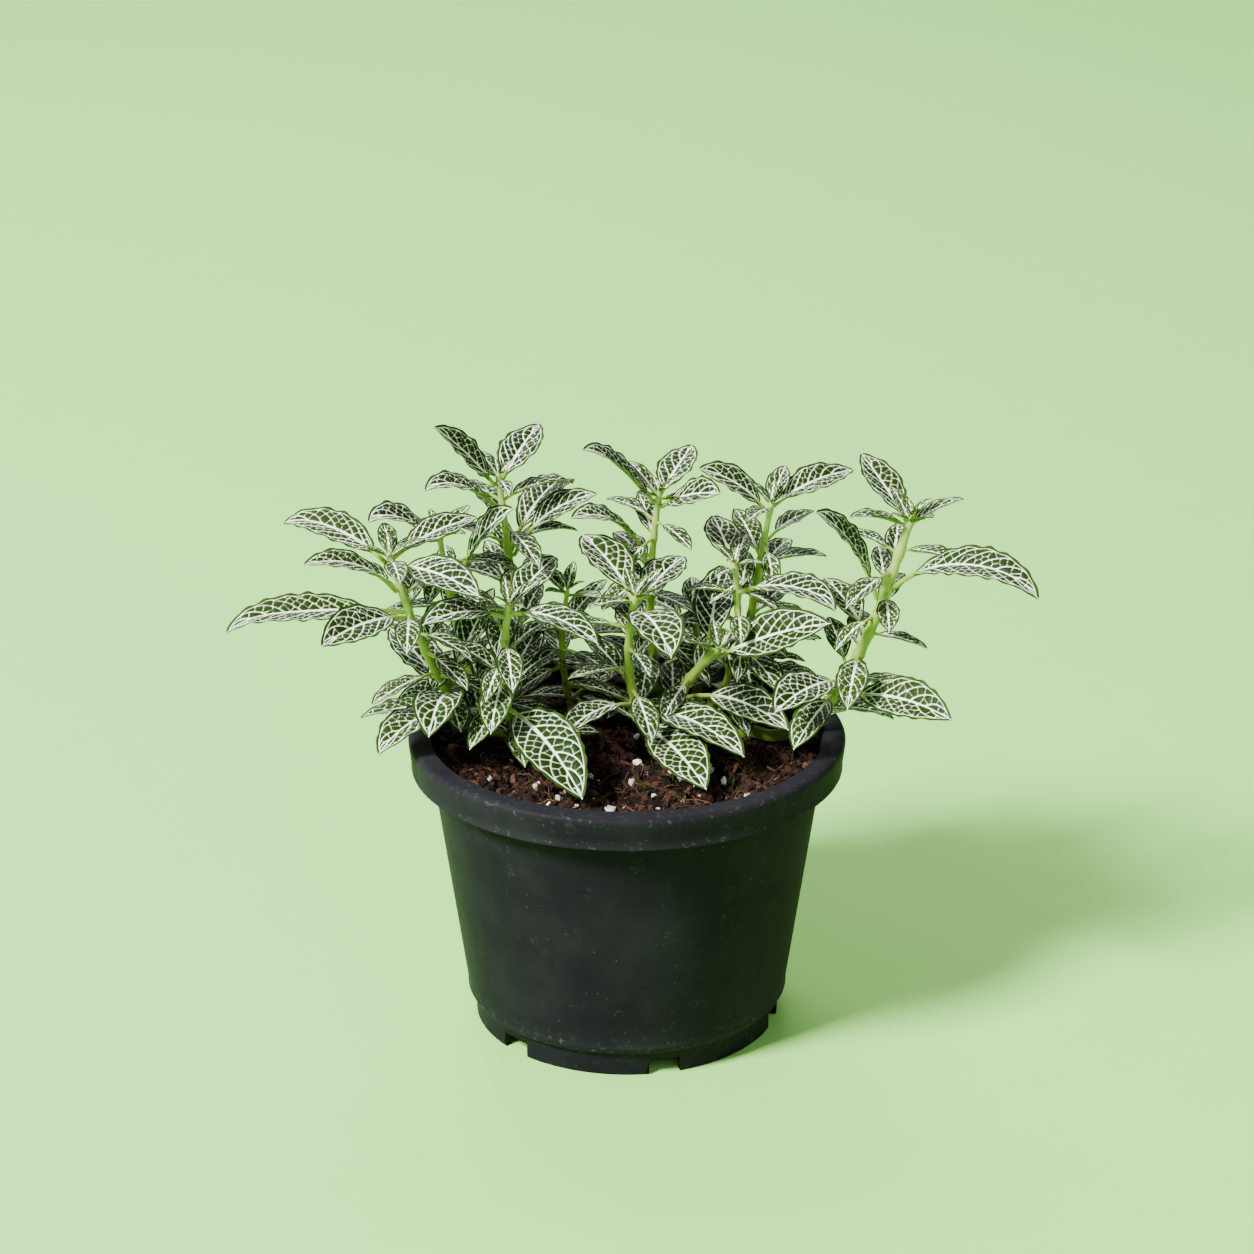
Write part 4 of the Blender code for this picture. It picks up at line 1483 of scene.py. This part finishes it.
    def moss(self, count: int) -> Shape:
        """Return short green wisps in tufts, scattered at random between a third and four fifths of the bed's
        radius.

        Args:
            count: number of tufts.

        Returns:
            The wisps.
        """
        parts = []
        for x, y in self.spots(count, 0.35, 0.8):
            for _ in range(7):
                heading = self.rng.uniform(0, math.tau)
                high = self.rng.uniform(0.8, 2.6)
                step = np.linspace(0, 1, 5)[:, None]
                lean = np.array([math.cos(heading), math.sin(heading), 0.0]) * self.rng.uniform(0.4, 1.8)
                foot = np.array([x, y, float(self.height(x, y))])
                centres = foot + lean * step ** 1.5 + np.array([0, 0, high]) * step
                shape = tube(centres, 0.14 * (1 - 0.8 * step[:, 0]), 4)
                parts.append(shape.with_value("tone", self.rng.uniform(0, 1)))
        return Shape.merged(parts)


# ---------------------------------------------------------------- pot


@dataclass(frozen=True)
class Pot:
    """The nursery pot, in mm: tapered wall, hanging rolled rim, stepped corner, notched foot ring."""

    height: float = 77.0
    rim_radius: float = 55.0
    rim_width: float = 4.5
    rim_depth: float = 8.5
    base_radius: float = 40.8
    corner: float = 2.0
    wall: float = 1.2
    floor_low: float = 5.2
    floor_high: float = 6.8
    foot_radius: float = 39.0
    foot_height: float = 6.0
    foot_wall: float = 1.8
    notch_width: float = 8.0
    notch_height: float = 4.0
    notch_turn: float = 284.0
    drain_radius: float = 4.0
    drain_ring: float = 26.0
    turns: int = 216

    def outer(self, height: float) -> float:
        """Return the wall's outer radius at a height."""
        low = self.foot_height + self.corner
        span = self.rim_radius - self.rim_width - self.base_radius
        return self.base_radius + span * (height - low) / (self.height - low)

    def inner(self, height: float) -> float:
        """Return the wall's inner radius at a height."""
        return self.outer(height) - self.wall

    @staticmethod
    def bend(
        middle: tuple[float, float], radius: float, start: float, end: float, steps: int = 7,
    ) -> list[tuple[float, float]]:
        """Return an arc of (radius, height) points, between two angles in degrees."""
        angles = np.radians(np.linspace(start, end, steps))
        return [(middle[0] + radius * math.cos(a), middle[1] + radius * math.sin(a)) for a in angles]

    def outline(self) -> list[tuple[float, float]]:
        """Return the section, from the axis under the floor round to the axis on top of it."""
        top = self.height
        skirt = top - self.rim_depth
        rim = self.rim_radius
        corner = (self.base_radius - self.corner, self.foot_height + self.corner)
        lip = self.inner(top) + 0.9
        steps = [(self.outer(z), z) for z in np.linspace(self.foot_height + self.corner + 1.5, top - 1.8, 24)]
        bead = [(self.base_radius + 0.28, self.foot_height + self.corner + 0.1)]
        bead += [(self.base_radius + 0.30, self.foot_height + self.corner + 0.5), (self.outer(9.2), 9.2)]
        return [
            (0.0, self.floor_low), (self.foot_radius - self.foot_wall, self.floor_low),
            (self.foot_radius - self.foot_wall, 0.3), (self.foot_radius - self.foot_wall + 0.3, 0.0),
            (self.foot_radius - 0.3, 0.0), (self.foot_radius, 0.3),
            (self.foot_radius, self.foot_height - 0.5),
            *self.bend(corner, self.corner, -78, -8, 8), *bead, *steps,
            (rim - 2.3, top - 1.8), (rim - 2.1, top - 3.0), (rim - 2.2, skirt + 0.3),
            (rim - 1.9, skirt), (rim - 1.0, skirt), (rim - 0.62, skirt + 0.25), (rim - 0.60, skirt + 0.8),
            (rim - 0.72, skirt + 1.2), (rim - 0.50, skirt + 3.0), (rim - 0.12, top - 2.4),
            *self.bend((rim - 1.5, top - 1.5), 1.5, 8, 84, 8), (rim - 2.6, top + 0.0),
            *self.bend((lip, top - 0.9), 0.9, 90, 180, 6),
            *[(self.inner(z), z) for z in np.linspace(top - 2.0, self.floor_high + 1.5, 12)],
            (self.inner(self.floor_high) - 1.2, self.floor_high), (0.0, self.floor_high),
        ]

    def build(self) -> None:
        """Make the pot."""
        outline = [(max(radius, 0.02), height) for radius, height in self.outline()]
        section = np.array(outline)
        angles = np.arange(self.turns) * math.tau / self.turns
        points = np.stack([
            section[:, :1] * np.cos(angles), section[:, :1] * np.sin(angles),
            np.broadcast_to(section[:, 1:], (len(section), self.turns)),
        ], -1)
        faces, sheet = ring_faces(len(section), self.turns)
        shape = Shape(points.reshape(-1, 3), faces, {}, sheet)
        shape.with_value("wear", np.repeat(self.wear(section), self.turns))
        pot = shape.to_object("nursery_pot", [PotSkin().build()])
        pot.data.set_sharp_from_angle(angle=math.radians(38))
        for index in range(6):
            self.cut_notch(pot, self.notch_turn + 60 * index)
            self.cut_drain(pot, 30 + 60 * index)
        place(pot, Finish.POT, "pot")

    @staticmethod
    def wear(section: Array) -> Array:
        """Return how rubbed the plastic is at each point of the section: most on its outer edges."""
        radius, height = section[:, 0], section[:, 1]
        rim = np.exp(-((height - 69.2) / 1.2) ** 2) + 0.7 * np.exp(-((height - 76.0) / 1.4) ** 2)
        foot = np.exp(-((height - 8.0) / 2.6) ** 2)
        return np.clip(rim + foot, 0, 1) * (radius > 38.5)

    def cut_notch(self, pot: bpy.types.Object, turn: float) -> None:
        """Cut one notch out of the foot ring."""
        corners = np.array([
            (x, y, z) for x in (self.foot_radius - 4, self.foot_radius + 2)
            for y in (-self.notch_width / 2, self.notch_width / 2) for z in (-3.0, self.notch_height)
        ])
        corners = corners @ turned(np.array([0, 0, math.radians(turn)])).T
        faces = np.array([(0, 1, 3, 2), (4, 6, 7, 5), (0, 4, 5, 1), (2, 3, 7, 6), (0, 2, 6, 4), (1, 5, 7, 3)])
        self.cut(pot, Shape(corners, faces))

    def cut_drain(self, pot: bpy.types.Object, turn: float) -> None:
        """Cut one drain hole out of the floor."""
        angle = math.radians(turn)
        middle = np.array([self.drain_ring * math.cos(angle), self.drain_ring * math.sin(angle), 0.0])
        ends = middle + np.array([[0, 0, self.floor_low - 2], [0, 0, self.floor_high + 2]])
        self.cut(pot, tube(ends, [self.drain_radius] * 2, 32))

    @staticmethod
    def cut(pot: bpy.types.Object, shape: Shape) -> None:
        """Take a shape out of the pot for good.

        Args:
            pot: the pot.
            shape: what is taken out.
        """
        cutter = Shape(shape.points, shape.faces).to_object("cutter", [])
        modifier = pot.modifiers.new("cut", "BOOLEAN")
        modifier.operation = "DIFFERENCE"
        modifier.solver = "EXACT"
        modifier.object = cutter
        graph = bpy.context.evaluated_depsgraph_get()
        mesh = bpy.data.meshes.new_from_object(pot.evaluated_get(graph))
        pot.modifiers.clear()
        pot.data = mesh
        bpy.data.objects.remove(cutter)


# ---------------------------------------------------------------- stage


@dataclass(frozen=True)
class Stage:
    """Pale floor, soft light and camera."""

    floor_colour: Rgb = (0.29, 0.69, 0.140)
    distance: float = 0.8
    elevation: float = 21.15
    aim: float = 0.1046
    lens: float = 92.4

    def build(self) -> None:
        """Make the stage."""
        self.build_floor()
        self.build_light("key", (-1.45, -1.10, 1.75), 0.55, 230.0)
        self.build_light("fill", (0.50, -1.50, 1.10), 1.2, 8.0)
        self.build_light("back", (-0.30, 1.60, 1.60), 1.4, 42.0)
        self.build_surroundings()
        self.build_camera()

    def build_floor(self) -> None:
        """Make the floor."""
        edge = 4000.0
        points = np.array([[-edge, -edge, 0], [edge, -edge, 0], [edge, edge, 0], [-edge, edge, 0]], float)
        floor = Shape(points, np.array([[0, 1, 2, 3]])).to_object(
            "studio_floor", [PlainSkin("studio_paper", self.floor_colour, 0.95, 0.04, 60.0).build()]
        )
        floor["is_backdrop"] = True

    @staticmethod
    def build_light(name: str, place_at: Rgb, size: float, power: float) -> None:
        """Add a square soft light that faces the plant."""
        light = bpy.data.lights.new(name, "AREA")
        light.energy = power
        light.size = size
        lamp = bpy.data.objects.new(name, light)
        bpy.context.scene.collection.objects.link(lamp)
        lamp.location = place_at
        aim = Vector((0.0, 0.0, 0.08)) - Vector(place_at)
        lamp.rotation_euler = aim.to_track_quat("-Z", "Y").to_euler()

    @staticmethod
    def build_surroundings() -> None:
        """Light everything evenly from all round."""
        world = bpy.data.worlds.new("studio")
        world.use_nodes = True
        back = world.node_tree.nodes["Background"]
        back.inputs["Color"].default_value = (0.93, 1.0, 0.92, 1.0)
        back.inputs["Strength"].default_value = 0.42
        bpy.context.scene.world = world

    def build_camera(self) -> None:
        """Set up the camera."""
        camera = bpy.data.cameras.new("camera")
        camera.lens = self.lens
        camera.sensor_width = 36.0
        holder = bpy.data.objects.new("camera", camera)
        bpy.context.scene.collection.objects.link(holder)
        angle = math.radians(self.elevation)
        holder.location = (0.0, -self.distance * math.cos(angle), self.aim + self.distance * math.sin(angle))
        aim = Vector((0.0, 0.0, self.aim)) - holder.location
        holder.rotation_euler = aim.to_track_quat("-Z", "Y").to_euler()
        bpy.context.scene.camera = holder


def main() -> None:
    """Build the stage, the pot, the mix and the plant."""
    logging.basicConfig(level=logging.INFO, format="%(name)s: %(message)s")
    Stage().build()
    pot = Pot()
    pot.build()
    Mix(pot.inner(Mix.LEVEL) - 0.15).build()
    Plant().build()


if __name__ == "__main__":
    main()
    [[list(map(float, corner)) for corner in box] for box in (START_BOUNDS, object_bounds())]
